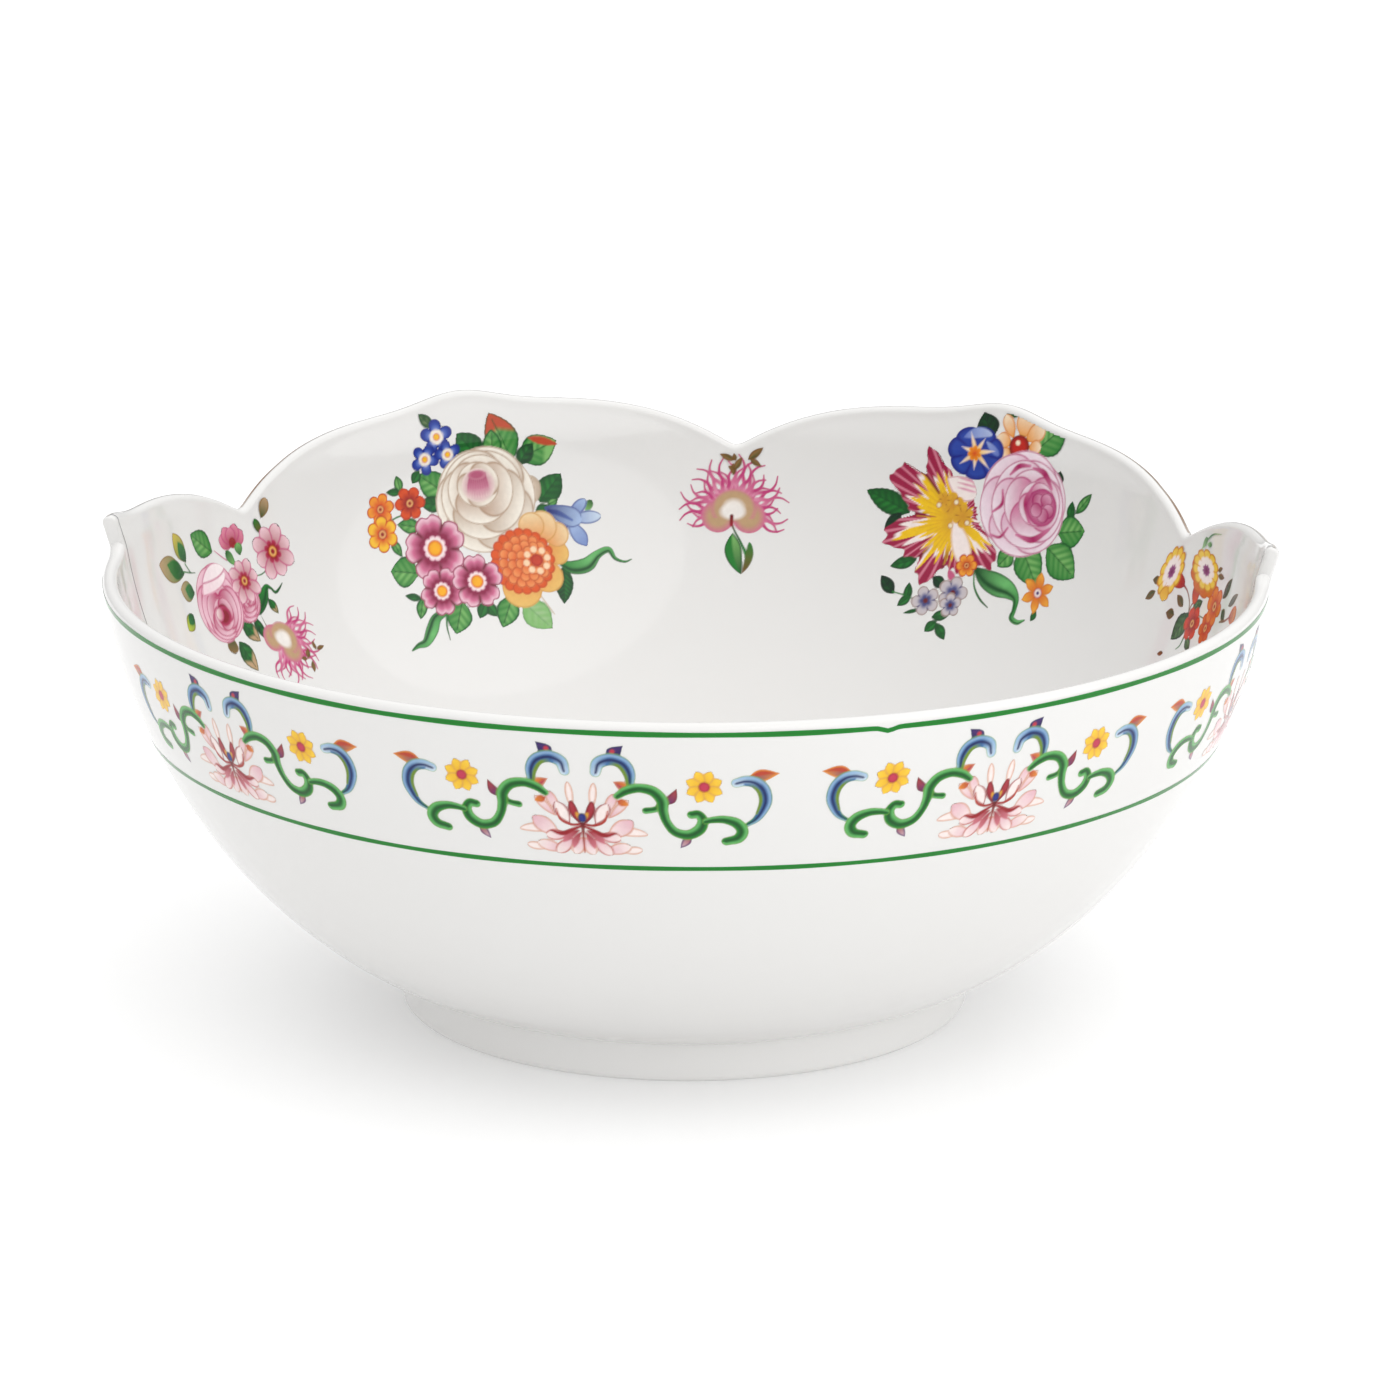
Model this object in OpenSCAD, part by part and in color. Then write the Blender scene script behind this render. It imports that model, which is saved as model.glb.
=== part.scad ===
// Porcelain serving bowl: a plain round half and a taller scalloped half, joined along a
// straight seam over one luted foot ring, with fine lines and separately cut transfers.
// Frame: millimetres, +Z up, origin at the centre of the foot's resting face.
// The seam lies in the XZ plane: the round half is on -Y and the scalloped half on +Y.

/* [Bowl] */
// Height of the round half's rim
rim_h = 111.6; // [110:0.2:114]
// Outer radius of the round half at its rim
rim_r = 145; // [143:0.5:147]
// Thickness of the wall at the rim
wall_t = 3.8; // [3.4:0.2:5]
// Thickness of the floor
floor_t = 5; // [4:0.5:6]

/* [Foot] */
// Outer radius of the foot ring where it meets the body
foot_r = 72; // [70:0.5:74]
// Height of the foot ring
foot_h = 10; // [9:0.5:11]
// Width of the foot ring
foot_w = 9; // [7:0.5:11]
// Radius of the foot ring's rounded edges
foot_round = 2; // [1:0.5:3]

/* [Scalloped rim] */
// Height of the middle notch between two lobes
notch_h = 107.3; // [105:0.1:109]
// Height of a lobe's shoulder above the notch
shoulder_h = 14; // [12:0.5:15]
// Height of the small pointed tip above the shoulder
tip_h = 3.5; // [2:0.1:5]
// How far the scalloped rim sinks towards the seam
end_drop = 4.8; // [3:0.2:6]
// How fast the scalloped wall flares above the round rim's height
flare = 0.3; // [0.25:0.01:0.33]

/* [Painted lines] */
// Height of the middle of the upper green line
line_upper_z = 109.1; // [108:0.1:109.2]
// Width of the upper green line
line_upper_w = 1.3; // [1:0.1:1.6]
// Height of the middle of the lower green line
line_lower_z = 74; // [70:0.1:76]
// Width of the lower green line
line_lower_w = 1.3; // [0.8:0.1:2]
// Width of the gilt line on the scalloped rim
gilt_w = 1.2; // [0.8:0.1:2]
// Distance of the fine seam line from the seam
seam_gap = 2.2; // [1:0.1:4]
// Width of the fine seam line
seam_w = 0.7; // [0.5:0.1:1.5]
// Thickness of every painted line and transfer
skin_t = 0.12; // [0.1:0.01:0.2]

/* [Transfers] */
// Angle between two lotus scrolls of the outer frieze
frieze_pitch = 41; // [40:0.1:43]
// Direction of the first lotus scroll, from -Y towards +X
frieze_start = -45.4; // [-50:0.2:-45]
// Height of the lotus scroll's middle
frieze_z = 90.8; // [90:0.1:92.6]
// Height of the middle of the large bouquets
bouquet_z = 87.3; // [84:0.1:92]
// Height of the middle of the thistle sprig
thistle_z = 91.2; // [88:0.1:94]

/* [Hidden] */
$fn = 96;
// Height that clears everything, and a reach that passes through the wall
clear_h = 140;
reach = 170;
// Angle taken by one lobe of the scalloped rim, and how fast it falls to its notches
lobe_angle = 60;
half_lobe = lobe_angle / 2;
lobe_power = 3.4;
// How far a lobe's outline is carried on to each side
lobe_side = rim_r * 0.6;
// Width of one lobe's tip, in degrees
tip_angle = 5.5;
// Heights of the underside and of the inner floor
under_z = foot_h;
floor_z = under_z + floor_t;
// Where the floor turns up into the wall
floor_r = foot_r - 15;
// How far above the round rim the scalloped wall's blank is carried before it is cut
blank_rise = notch_h + shoulder_h + tip_h + 2 - rim_h;
lip_r = wall_t / 2;
gilt_inset = 0.3;

// Control points of the wall's outer and inner curves, from the foot up to the rim
outer_curve = [[foot_r, under_z], [foot_r + 31.2, 21.3], [rim_r - 6.2, 61], [rim_r, rim_h]];
inner_curve = [[floor_r, floor_z], [floor_r + 41.6, 20.3], [rim_r - wall_t - 7.6, 63],
    [rim_r - wall_t, rim_h]];
curve_steps = 14;

// A point on a curve of four control points
function on_curve(c, t) = c[0] * pow(1 - t, 3) + 3 * c[1] * t * pow(1 - t, 2)
    + 3 * c[2] * t * t * (1 - t) + c[3] * pow(t, 3);
function curve_points(c) = [for (i = [0:curve_steps]) on_curve(c, i / curve_steps)];
function reversed(v) = [for (i = [len(v) - 1:-1:0]) v[i]];
// The wall's curve carried on above the round rim
function carried_on(c) = concat(curve_points(c), [c[3] + blank_rise * [flare, 1]]);
// The same list of points moved sideways by d
function moved(v, d) = [for (p = v) p + [d, 0]];

// Height of the scalloped rim at an angle d from the middle of the lobe in direction a
function rim_height(a, d) = notch_h
    + shoulder_h * (1 - pow(abs(d) / half_lobe, lobe_power))
    + tip_h * exp(-pow(d / tip_angle, 2)) - end_drop * pow(abs(cos(a + d)), 5);

// ---- sections and blanks ----

// Half a turn of a section, on the scalloped side (+Y) or the round side (-Y)
module back_half() { rotate_extrude(angle = 180) children(); }
module front_half() { rotate([0, 0, 180]) rotate_extrude(angle = 180) children(); }

// Section of the round half, with a full round on its lip
module round_section() {
    lip_z = rim_h - lip_r;
    lip_mid = rim_r - lip_r;
    lip = [for (a = [0:15:180]) [lip_mid + lip_r * cos(a), lip_z + lip_r * sin(a)]];
    outer = [for (p = curve_points(outer_curve)) if (p[1] < lip_z) p];
    inner = [for (p = curve_points(inner_curve)) if (p[1] < lip_z) p];
    polygon(concat([[0, under_z]], outer, lip, reversed(inner), [[0, floor_z]]));
}

// Section of the scalloped half before its rim is cut
module scalloped_section() {
    polygon(concat([[0, under_z]], carried_on(outer_curve), reversed(carried_on(inner_curve)),
        [[0, floor_z]]));
}

// Sections of the thin layers that lie on the outer and inner surfaces
module outer_skin() {
    v = carried_on(outer_curve);
    polygon(concat(v, reversed(moved(v, skin_t))));
}
module inner_skin() {
    v = carried_on(inner_curve);
    polygon(concat(v, reversed(moved(v, -skin_t))));
}

// A flat outline stood upright and pushed out from the axis in direction a
module upright(a) { rotate([0, 0, a]) rotate([90, 0, 90]) linear_extrude(height = reach) children(); }

// Outline of the top of the lobe in direction a, raised by lift and carried on to both sides
function lobe_top(a, lift) =
    let (top = [for (d = [-half_lobe:2.5:half_lobe]) [rim_r * sin(d), rim_height(a, d) + lift]])
    concat([[-lobe_side, top[0][1]]], top, [[lobe_side, top[len(top) - 1][1]]]);

// The slice of space that belongs to the lobe in direction a
module lobe_slice(a) {
    linear_extrude(height = clear_h)
        polygon([[0, 0], reach * [cos(a - half_lobe), sin(a - half_lobe)], reach * 1.2 * [cos(a), sin(a)],
            reach * [cos(a + half_lobe), sin(a + half_lobe)]]);
}

// Everything under the outline of the lobe in direction a
module lobe(a) {
    intersection() {
        upright(a) polygon(concat([[-lobe_side, 0]], lobe_top(a, 0), [[lobe_side, 0]]));
        lobe_slice(a);
    }
}

// A thin strip that lies on top of the lobe in direction a
module lobe_strip(a) {
    intersection() {
        upright(a) polygon(concat(lobe_top(a, 0), reversed(lobe_top(a, skin_t))));
        lobe_slice(a);
    }
}

// Directions of the four lobes: the seam cuts the outer two at their middles
lobe_directions = [0:lobe_angle:180];

// ---- outlines of the transfers ----

// Pointed leaf along +X from the origin
module leaf(l, w) {
    r = (l * l + w * w) / (4 * w);
    intersection() {
        translate([l / 2, r - w / 2]) circle(r);
        translate([l / 2, w / 2 - r]) circle(r);
    }
}
module leaf_at(x, y, a, l, w) { translate([x, y]) rotate(a) leaf(l, w); }

// Round flower with n petals
module blossom(x, y, r, n) {
    translate([x, y]) {
        circle(r * 0.6);
        for (i = [0:n - 1]) rotate(i * 360 / n) translate([r * 0.6, 0]) circle(r * 0.4);
    }
}

// Part of a ring, from angle a to angle b
module curl(x, y, r, w, a, b) {
    translate([x, y]) intersection() {
        difference() {
            circle(r + w / 2);
            circle(r - w / 2);
        }
        polygon([[0, 0], 2 * r * [cos(a), sin(a)], 3 * r * [cos((a + b) / 2), sin((a + b) / 2)],
            2 * r * [cos(b), sin(b)]]);
    }
}

// One half of the lotus scroll, to the right of its middle
module scroll_arm() {
    curl(8, 7.5, 5, 2.2, 10, 170);
    curl(19, -0.5, 5, 2.2, 20, 160);
    curl(28, -4.5, 5, 2.2, 200, 340);
    curl(38, -9, 5, 2.4, -20, 150);
    curl(38.5, 2, 5, 2.6, -90, 85);
    leaf_at(39, 7.5, 15, 8, 3);
    blossom(29, 6, 4.5, 8);
}

module lotus_scroll_outline() {
    scroll_arm();
    mirror([1, 0]) scroll_arm();
    for (a = [-20:27.5:200]) leaf_at(0, -11, a, 12 - 3 * abs(a - 90) / 110, 4);
}

module rose_bouquet_outline() {
    blossom(1, 9, 13, 9);
    blossom(16, -5, 10, 9);
    for (p = [[-14, -1, 8], [-9, -15, 8], [4, -12, 7]]) blossom(p[0], p[1], p[2], 6);
    for (p = [[-27, 4, 4], [-24, -5, 4], [-14, 24, 5]]) blossom(p[0], p[1], p[2], 5);
    leaf_at(12, 18, 60, 15, 7);
    leaf_at(2, 20, 95, 15, 8);
    leaf_at(22, 2, 20, 14, 6);
    leaf_at(-16, 8, 150, 14, 7);
    leaf_at(-12, -20, -120, 14, 6);
    leaf_at(10, -16, -60, 13, 7);
}

module tulip_bouquet_outline() {
    blossom(14, 1, 13, 9);
    blossom(-1, 17, 7, 8);
    translate([-8, -2]) circle(6);
    for (a = [105:30:285]) leaf_at(-8, -2, a, 20, 8);
    blossom(12, 22, 7, 6);
    for (p = [[-12, -24, 4], [-5, -21, 4], [22, -23, 4]]) blossom(p[0], p[1], p[2], 5);
    leaf_at(20, 14, 40, 14, 7);
    leaf_at(26, -4, -10, 12, 6);
    leaf_at(8, -12, -50, 16, 7);
    leaf_at(-2, -14, -110, 18, 5);
    leaf_at(-20, 8, 155, 12, 6);
}

module thistle_outline() {
    circle(6);
    for (a = [10:32:170]) leaf_at(0, 0, a, 15, 5);
    leaf_at(0, -4, -92, 20, 4);
    leaf_at(1, -10, -50, 9, 4);
}

module rose_spray_outline() {
    blossom(-4, 2, 10, 8);
    blossom(3, 10, 7, 7);
    blossom(10, 21, 6, 6);
    leaf_at(-8, 12, 120, 12, 6);
    leaf_at(-14, 2, 170, 10, 6);
    leaf_at(4, -6, -40, 12, 5);
    leaf_at(-5, -8, -95, 12, 5);
    translate([14, -16]) circle(5);
    for (a = [-75:32:60]) leaf_at(14, -16, a, 11, 4);
}

module trumpet_spray_outline() {
    blossom(-9, 13, 8, 7);
    blossom(5, 12, 8, 7);
    for (p = [[9, 0, 5], [-1, -9, 6], [6, -17, 5]]) blossom(p[0], p[1], p[2], 5);
    leaf_at(-6, -4, 190, 12, 5);
    leaf_at(-5, -12, 250, 12, 5);
    leaf_at(12, -4, 60, 10, 3);
    leaf_at(0, 1, 90, 8, 3);
}

module poppy_spray_outline() {
    blossom(0, 6, 8, 6);
    blossom(-9, -5, 5, 5);
    blossom(8, -7, 5, 5);
    leaf_at(0, -2, -90, 16, 4);
    leaf_at(1, -6, -35, 10, 4);
    leaf_at(-1, -6, 215, 10, 4);
}

// A transfer lying on the inner surface, or on the outer surface, in direction a at height z
module inner_transfer(a, z) {
    intersection() {
        if (sin(a) > 0) back_half() inner_skin();
        else front_half() inner_skin();
        upright(a) translate([0, z]) mirror([1, 0]) children();
    }
}
module outer_transfer(a, z) {
    intersection() {
        front_half() outer_skin();
        upright(a) translate([0, z]) children();
    }
}

// ---- the pieces ----

module foot_ring() {
    inner_r = foot_r - foot_w;
    lean = 0.8;
    color("white") rotate_extrude() polygon(concat(
        [[inner_r, under_z], [inner_r, foot_round]],
        [for (a = [210:30:270]) [inner_r + foot_round + foot_round * cos(a),
            foot_round + foot_round * sin(a)]],
        [for (a = [270:30:360]) [foot_r - lean - foot_round + foot_round * cos(a),
            foot_round + foot_round * sin(a)]],
        [[foot_r, under_z]]));
}

module round_wall() { color("white") front_half() round_section(); }

module scalloped_wall() {
    color("ivory") intersection() {
        back_half() scalloped_section();
        for (a = lobe_directions) lobe(a);
    }
}

module gilt_rim_line() {
    edge = moved(carried_on(outer_curve), -gilt_inset);
    color("goldenrod") intersection() {
        back_half() polygon(concat(edge, reversed(moved(edge, -gilt_w))));
        for (a = lobe_directions) lobe_strip(a);
    }
}

module green_line(z, w) {
    color("seagreen") intersection() {
        front_half() outer_skin();
        translate([0, 0, z - w / 2]) linear_extrude(height = w) circle(reach);
    }
}
module green_line_upper() { green_line(line_upper_z, line_upper_w); }
module green_line_lower() { green_line(line_lower_z, line_lower_w); }

// Fine line just behind the seam, down the inside from the rim and down the outside
module seam_line(side) {
    color("dimgray") intersection() {
        back_half() {
            inner_skin();
            outer_skin();
        }
        lobe(side > 0 ? 0 : 180);
        translate([side > 0 ? 0 : -reach, seam_gap, floor_z]) cube([reach, seam_w, clear_h]);
    }
}
module seam_line_left() { seam_line(-1); }
module seam_line_right() { seam_line(1); }

// Lotus scroll number n of the frieze, cut at the seam where it reaches it
module lotus_scroll(n) {
    color("mediumseagreen")
        outer_transfer(frieze_start - 90 + (n - 1) * frieze_pitch, frieze_z) lotus_scroll_outline();
}

module rose_bouquet() { color("hotpink") inner_transfer(118.3, bouquet_z) rose_bouquet_outline(); }
module tulip_bouquet() { color("orchid") inner_transfer(60.4, bouquet_z + 3.8) tulip_bouquet_outline(); }
module thistle_sprig() { color("palevioletred") inner_transfer(89.6, thistle_z) thistle_outline(); }
module rose_spray() { color("crimson") inner_transfer(155.2, bouquet_z - 0.5) rose_spray_outline(); }
module trumpet_flower_spray() { color("orange") inner_transfer(25, bouquet_z + 1) trumpet_spray_outline(); }
module poppy_spray(a) { color("orangered") inner_transfer(a, bouquet_z) poppy_spray_outline(); }

foot_ring();
round_wall();
scalloped_wall();
gilt_rim_line();
green_line_upper();
green_line_lower();
seam_line_left();
seam_line_right();
lotus_scroll(1);  // lotus_scroll_1
lotus_scroll(2);  // lotus_scroll_2
lotus_scroll(3);  // lotus_scroll_3
lotus_scroll(4);  // lotus_scroll_4
rose_bouquet();
tulip_bouquet();
thistle_sprig();
rose_spray();
trumpet_flower_spray();
poppy_spray(-171);  // poppy_spray_left
poppy_spray(-90);  // poppy_spray_centre
poppy_spray(-13);  // poppy_spray_right
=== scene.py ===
"""Porcelain serving bowl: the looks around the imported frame.

Sizes are in millimetres and are turned into metres when a mesh is made. The round half is on -Y, the
scalloped half on +Y, and azimuths are counted from +X towards +Y.
"""
import math

import bmesh
import bpy
import numpy as np
from mathutils import Matrix, Vector


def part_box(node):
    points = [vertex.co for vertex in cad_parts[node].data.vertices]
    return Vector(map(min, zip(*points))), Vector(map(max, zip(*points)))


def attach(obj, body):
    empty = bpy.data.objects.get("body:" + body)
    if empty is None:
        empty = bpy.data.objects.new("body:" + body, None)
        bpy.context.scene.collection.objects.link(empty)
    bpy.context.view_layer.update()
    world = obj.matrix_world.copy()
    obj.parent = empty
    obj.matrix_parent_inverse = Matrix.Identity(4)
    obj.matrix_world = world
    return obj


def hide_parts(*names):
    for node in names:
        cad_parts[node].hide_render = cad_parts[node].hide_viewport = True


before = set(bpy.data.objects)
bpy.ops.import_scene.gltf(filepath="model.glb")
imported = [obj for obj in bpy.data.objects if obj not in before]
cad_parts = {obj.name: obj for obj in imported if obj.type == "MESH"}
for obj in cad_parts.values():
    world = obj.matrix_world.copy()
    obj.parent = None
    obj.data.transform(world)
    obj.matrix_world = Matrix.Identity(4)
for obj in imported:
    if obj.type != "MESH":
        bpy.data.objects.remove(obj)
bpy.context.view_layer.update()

MM = 0.001


def sine(degrees):
    return np.sin(np.radians(degrees))


def cosine(degrees):
    return np.cos(np.radians(degrees))


# ---- sizes, worked out from the frame -------------------------------------------------------------


def node_box(name):
    """Lowest and highest corner of a CAD node, in millimetres."""
    low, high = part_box(name)
    return np.array(low) / MM, np.array(high) / MM


ROUND_HIGH = node_box("round_wall")[1]
FOOT_HIGH = node_box("foot_ring")[1]
RIM_R, RIM_H = ROUND_HIGH[0], ROUND_HIGH[2]
FOOT_R, UNDER_Z = FOOT_HIGH[0], FOOT_HIGH[2]
PEAK_Z = node_box("scalloped_wall")[1][2]
# The wall and the floor inside, and how far the wall leans out above the round rim
WALL_T = 3.8
FLOOR_Z = UNDER_Z + 5
FLARE = 0.3

# The scalloped rim: notches, shoulders and small pointed tips, sinking towards the seam
TIP_H, SHOULDER_H, END_DROP, DROP_POWER = 3.5, 14.0, 4.8, 5
NOTCH_H = PEAK_Z - TIP_H - SHOULDER_H + END_DROP / 2**DROP_POWER
LOBE, TIP_WIDTH, LOBE_POWER = 60.0, 5.5, 3.4
# The two lobes at the seam are a little narrower
END_NARROW = 1.03

# Heights and widths of the green lines, the slip of the brush in the upper one, and the gap between the
# seam and its fine line
LINE_UPPER_Z, LINE_UPPER_W = 109.1, 1.3
LINE_LOWER_Z, LINE_LOWER_W = 74.0, 1.3
SLIP_AZIMUTH, SLIP_DEPTH = 294.2, 0.8
SEAM_GAP, SEAM_W = 2.5, 0.4
# Azimuths where the gilt line is strongest
GILT_SLOPES = (36, 144)

# ---- the wall's curves ----------------------------------------------------------------------------

OUTER = [(FOOT_R, UNDER_Z), (FOOT_R + 31.2, 21.3), (RIM_R - 6.2, 61), (RIM_R, RIM_H)]
INNER = [(FOOT_R - 15, FLOOR_Z), (FOOT_R + 26.6, 20.3), (RIM_R - WALL_T - 7.6, 63), (RIM_R - WALL_T, RIM_H)]


class Curve:
    """One side of the wall's section, carried on above the round rim, measured by its length."""

    def __init__(self, control, side):
        t = np.linspace(0, 1, 600)[:, None]
        p = [np.array(c, float) for c in control]
        main = (1 - t) ** 3 * p[0] + 3 * t * (1 - t) ** 2 * p[1] + 3 * t * t * (1 - t) * p[2] + t**3 * p[3]
        rise = np.linspace(0.1, PEAK_Z - RIM_H + 4, 160)[:, None]
        tail = p[3] + rise * np.array([[FLARE, 1.0]])
        self.points = np.vstack([main, tail])
        steps = np.hypot(*np.diff(self.points, axis=0).T)
        self.length = np.concatenate([[0], np.cumsum(steps)])
        slope = np.gradient(self.points, axis=0)
        slope /= np.linalg.norm(slope, axis=1)[:, None]
        # a short running mean softens the bend where the flare begins
        reach = 20
        padded = np.pad(slope, ((reach, reach), (0, 0)), mode="edge")
        mean = np.ones(2 * reach + 1) / (2 * reach + 1)
        slope = np.stack([np.convolve(padded[:, k], mean, "valid") for k in (0, 1)], 1)
        slope /= np.linalg.norm(slope, axis=1)[:, None]
        self.normals = side * np.stack([slope[:, 1], -slope[:, 0]], 1)

    def at(self, length):
        """Radius and height at a length along the curve."""
        return tuple(np.interp(length, self.length, self.points[:, k]) for k in (0, 1))

    def normal(self, length):
        """Direction out of the wall at a length along the curve."""
        n = np.stack([np.interp(length, self.length, self.normals[:, k]) for k in (0, 1)], -1)
        return n / np.linalg.norm(n, axis=-1, keepdims=True)

    def length_at(self, z):
        return np.interp(z, self.points[:, 1], self.length)


OUTSIDE = Curve(OUTER, 1)
INSIDE = Curve(INNER, -1)


def rim_height(azimuth):
    """Height of the scalloped rim at an azimuth in degrees, rounded a little in the notches."""
    azimuth = np.asarray(azimuth, float)
    heights = []
    for middle in range(-60, 241, 60):
        d = azimuth - middle
        spread = np.abs(d) / (LOBE / 2) * (END_NARROW if middle % 180 == 0 else 1)
        body = SHOULDER_H * (1 - spread**LOBE_POWER)
        heights.append(body + TIP_H * np.exp(-((d / TIP_WIDTH) ** 2)))
    sharp = 0.8
    stack = np.stack(heights)
    top = stack.max(0)
    smooth = top + np.log(np.exp(sharp * np.clip(stack - top, -40, 0)).sum(0)) / sharp
    return NOTCH_H + smooth - END_DROP * np.abs(cosine(azimuth)) ** DROP_POWER


# ---- meshes ---------------------------------------------------------------------------------------


def add_mesh(name, verts, faces, node, colours=None):
    """A smooth mesh piece from millimetre points, which stands for one or more CAD nodes."""
    mesh = bpy.data.meshes.new(name)
    mesh.from_pydata((np.asarray(verts) * MM).tolist(), [], faces)
    mesh.update()
    mesh.shade_smooth()
    if colours is not None:
        layer = mesh.color_attributes.new("enamel", "FLOAT_COLOR", "POINT")
        rgba = np.concatenate([colours, np.ones((len(colours), 1))], 1)
        layer.data.foreach_set("color", rgba.astype(np.float32).ravel())
    piece = bpy.data.objects.new(name, mesh)
    bpy.context.scene.collection.objects.link(piece)
    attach(piece, "root")
    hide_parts(*([node] if isinstance(node, str) else node))
    return piece


def turned(azimuth, r, z):
    """Points in space from azimuths in degrees, radii and heights."""
    a = np.radians(azimuth)
    return np.stack([r * np.cos(a), r * np.sin(a), z + 0 * a], -1)


def grid_faces(rows, cols, closed=False):
    """Quads of a grid of points. Closed joins the last column to the first."""
    faces = []
    for i in range(rows - 1):
        for j in range(cols if closed else cols - 1):
            k = (j + 1) % cols
            a, b = i * cols, (i + 1) * cols
            faces.append((a + j, b + j, b + k, a + k))
    return faces


# Points up each side of the section and round its lip, and the height over which the lip is blended in
SIDE_POINTS, LIP_POINTS, LIP_BLEND = 66, 10, 12


def section(top, lip):
    """Loop of the wall's section for a rim height and lip radius: up, over the lip and down the inside."""
    base = top - lip
    s = np.linspace(0, 1, SIDE_POINTS - 2) ** 0.85
    outer = np.stack(OUTSIDE.at(s * OUTSIDE.length_at(base)), 1)
    inner = np.stack(INSIDE.at(s * INSIDE.length_at(base)), 1)
    # the two sides close in on the lip's width just below it
    half = (outer[-1] - inner[-1]) / 2
    pull = (1 - lip / np.linalg.norm(half)) * half
    near = np.clip(1 - (base - outer[:, 1:]) / LIP_BLEND, 0, 1) ** 2
    outer, inner = outer - pull * near, inner + pull * near
    across, mid = (outer[-1] - inner[-1]) / 2, (outer[-1] + inner[-1]) / 2
    up = np.array([-across[1], across[0]])
    turn = np.linspace(0, np.pi, LIP_POINTS + 2)[1:-1, None]
    arc = mid + across * np.cos(turn) + up * np.sin(turn)
    foot_in, floor_in = [[0, UNDER_Z], [FOOT_R * 0.5, UNDER_Z]], [[FOOT_R * 0.4, FLOOR_Z], [0, FLOOR_Z]]
    return np.vstack([foot_in, outer, arc, inner[::-1], floor_in])


def half_wall(name, node, start, top_z, lip, inset):
    """Half a bowl from azimuth start to start + 180: a loop of section points at each azimuth, with end caps.

    top_z and lip give the rim's height and its lip's radius at an azimuth, and inset gives how far the
    section is drawn in at its ends, for heights above the round rim.
    """
    edge = np.array([0, 0.04, 0.1, 0.2, 0.34])
    azimuths = start + np.concatenate([edge, np.arange(0.6, 179.7, 0.6), 180 - edge[::-1]])
    rings = []
    for a in azimuths:
        loop = section(top_z(a), lip(a))
        gap = min(a - start, start + 180 - a) * math.radians(RIM_R)
        draw = inset(gap)
        if draw > 0:
            tangent = np.gradient(loop, axis=0)
            tangent /= np.linalg.norm(tangent, axis=1)[:, None] + 1e-12
            inward = np.stack([-tangent[:, 1], tangent[:, 0]], 1)
            high = np.clip((loop[:, 1:] - (RIM_H - 4)) / 4, 0, 1)
            loop = loop + inward * draw * high
        rings.append(turned(np.full(len(loop), a), loop[:, 0], loop[:, 1]))
    verts = np.stack(rings)
    rows, cols = verts.shape[:2]
    faces = grid_faces(rows, cols)
    last = (rows - 1) * cols
    side = SIDE_POINTS
    for near in range(side - 1):
        far = cols - 1 - near
        faces.append((near, near + 1, far - 1, far))
        faces.append((last + far, last + far - 1, last + near + 1, last + near))
    faces.append(tuple(range(side - 1, cols - side + 1)))
    faces.append(tuple(last + k for k in range(cols - side, side - 2, -1)))
    piece = add_mesh(name, verts.reshape(-1, 3), faces, node)
    weld(piece)
    return piece


def weld(piece):
    """Joins the points that meet on the axis, and turns every face outwards."""
    bm = bmesh.new()
    bm.from_mesh(piece.data)
    bmesh.ops.remove_doubles(bm, verts=bm.verts, dist=1e-7)
    bmesh.ops.dissolve_degenerate(bm, edges=bm.edges, dist=1e-8)
    bmesh.ops.recalc_face_normals(bm, faces=bm.faces)
    bm.to_mesh(piece.data)
    bm.free()
    piece.data.shade_smooth()
    piece.data.set_sharp_from_angle(angle=math.radians(50))


def spun(name, node, outline):
    """A full turn of a closed outline of radii and heights."""
    r, z = np.array(outline).T
    verts = np.stack([turned(np.full(len(r), a), r, z) for a in np.arange(0, 360, 1.5)])
    rows, cols = verts.shape[:2]
    faces = grid_faces(rows, cols, closed=True)
    for j in range(cols):
        k = (j + 1) % cols
        faces.append(((rows - 1) * cols + j, j, k, (rows - 1) * cols + k))
    piece = add_mesh(name, verts.reshape(-1, 3), faces, node)
    weld(piece)
    return piece


def corner(r, z, radius, start, end, steps=7):
    """Points of a rounded corner about a centre."""
    return [(r + radius * math.cos(a), z + radius * math.sin(a))
            for a in np.radians(np.linspace(start, end, steps))]


# ---- materials ------------------------------------------------------------------------------------

# The glaze's index of refraction, and how much less of each colour its warmer places send back
GLASS_IOR, WARMTH = 1.52, (0.985, 0.98, 0.97)


def new_material(name):
    material = bpy.data.materials.new(name)
    material.use_nodes = True
    tree = material.node_tree
    return material, tree.nodes, tree.links, tree.nodes["Principled BSDF"]


def set_inputs(node, **values):
    """Sets a node's inputs by their names, with _ for a space."""
    for name, value in values.items():
        node.inputs[name.replace("_", " ")].default_value = value
    return node


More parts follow.
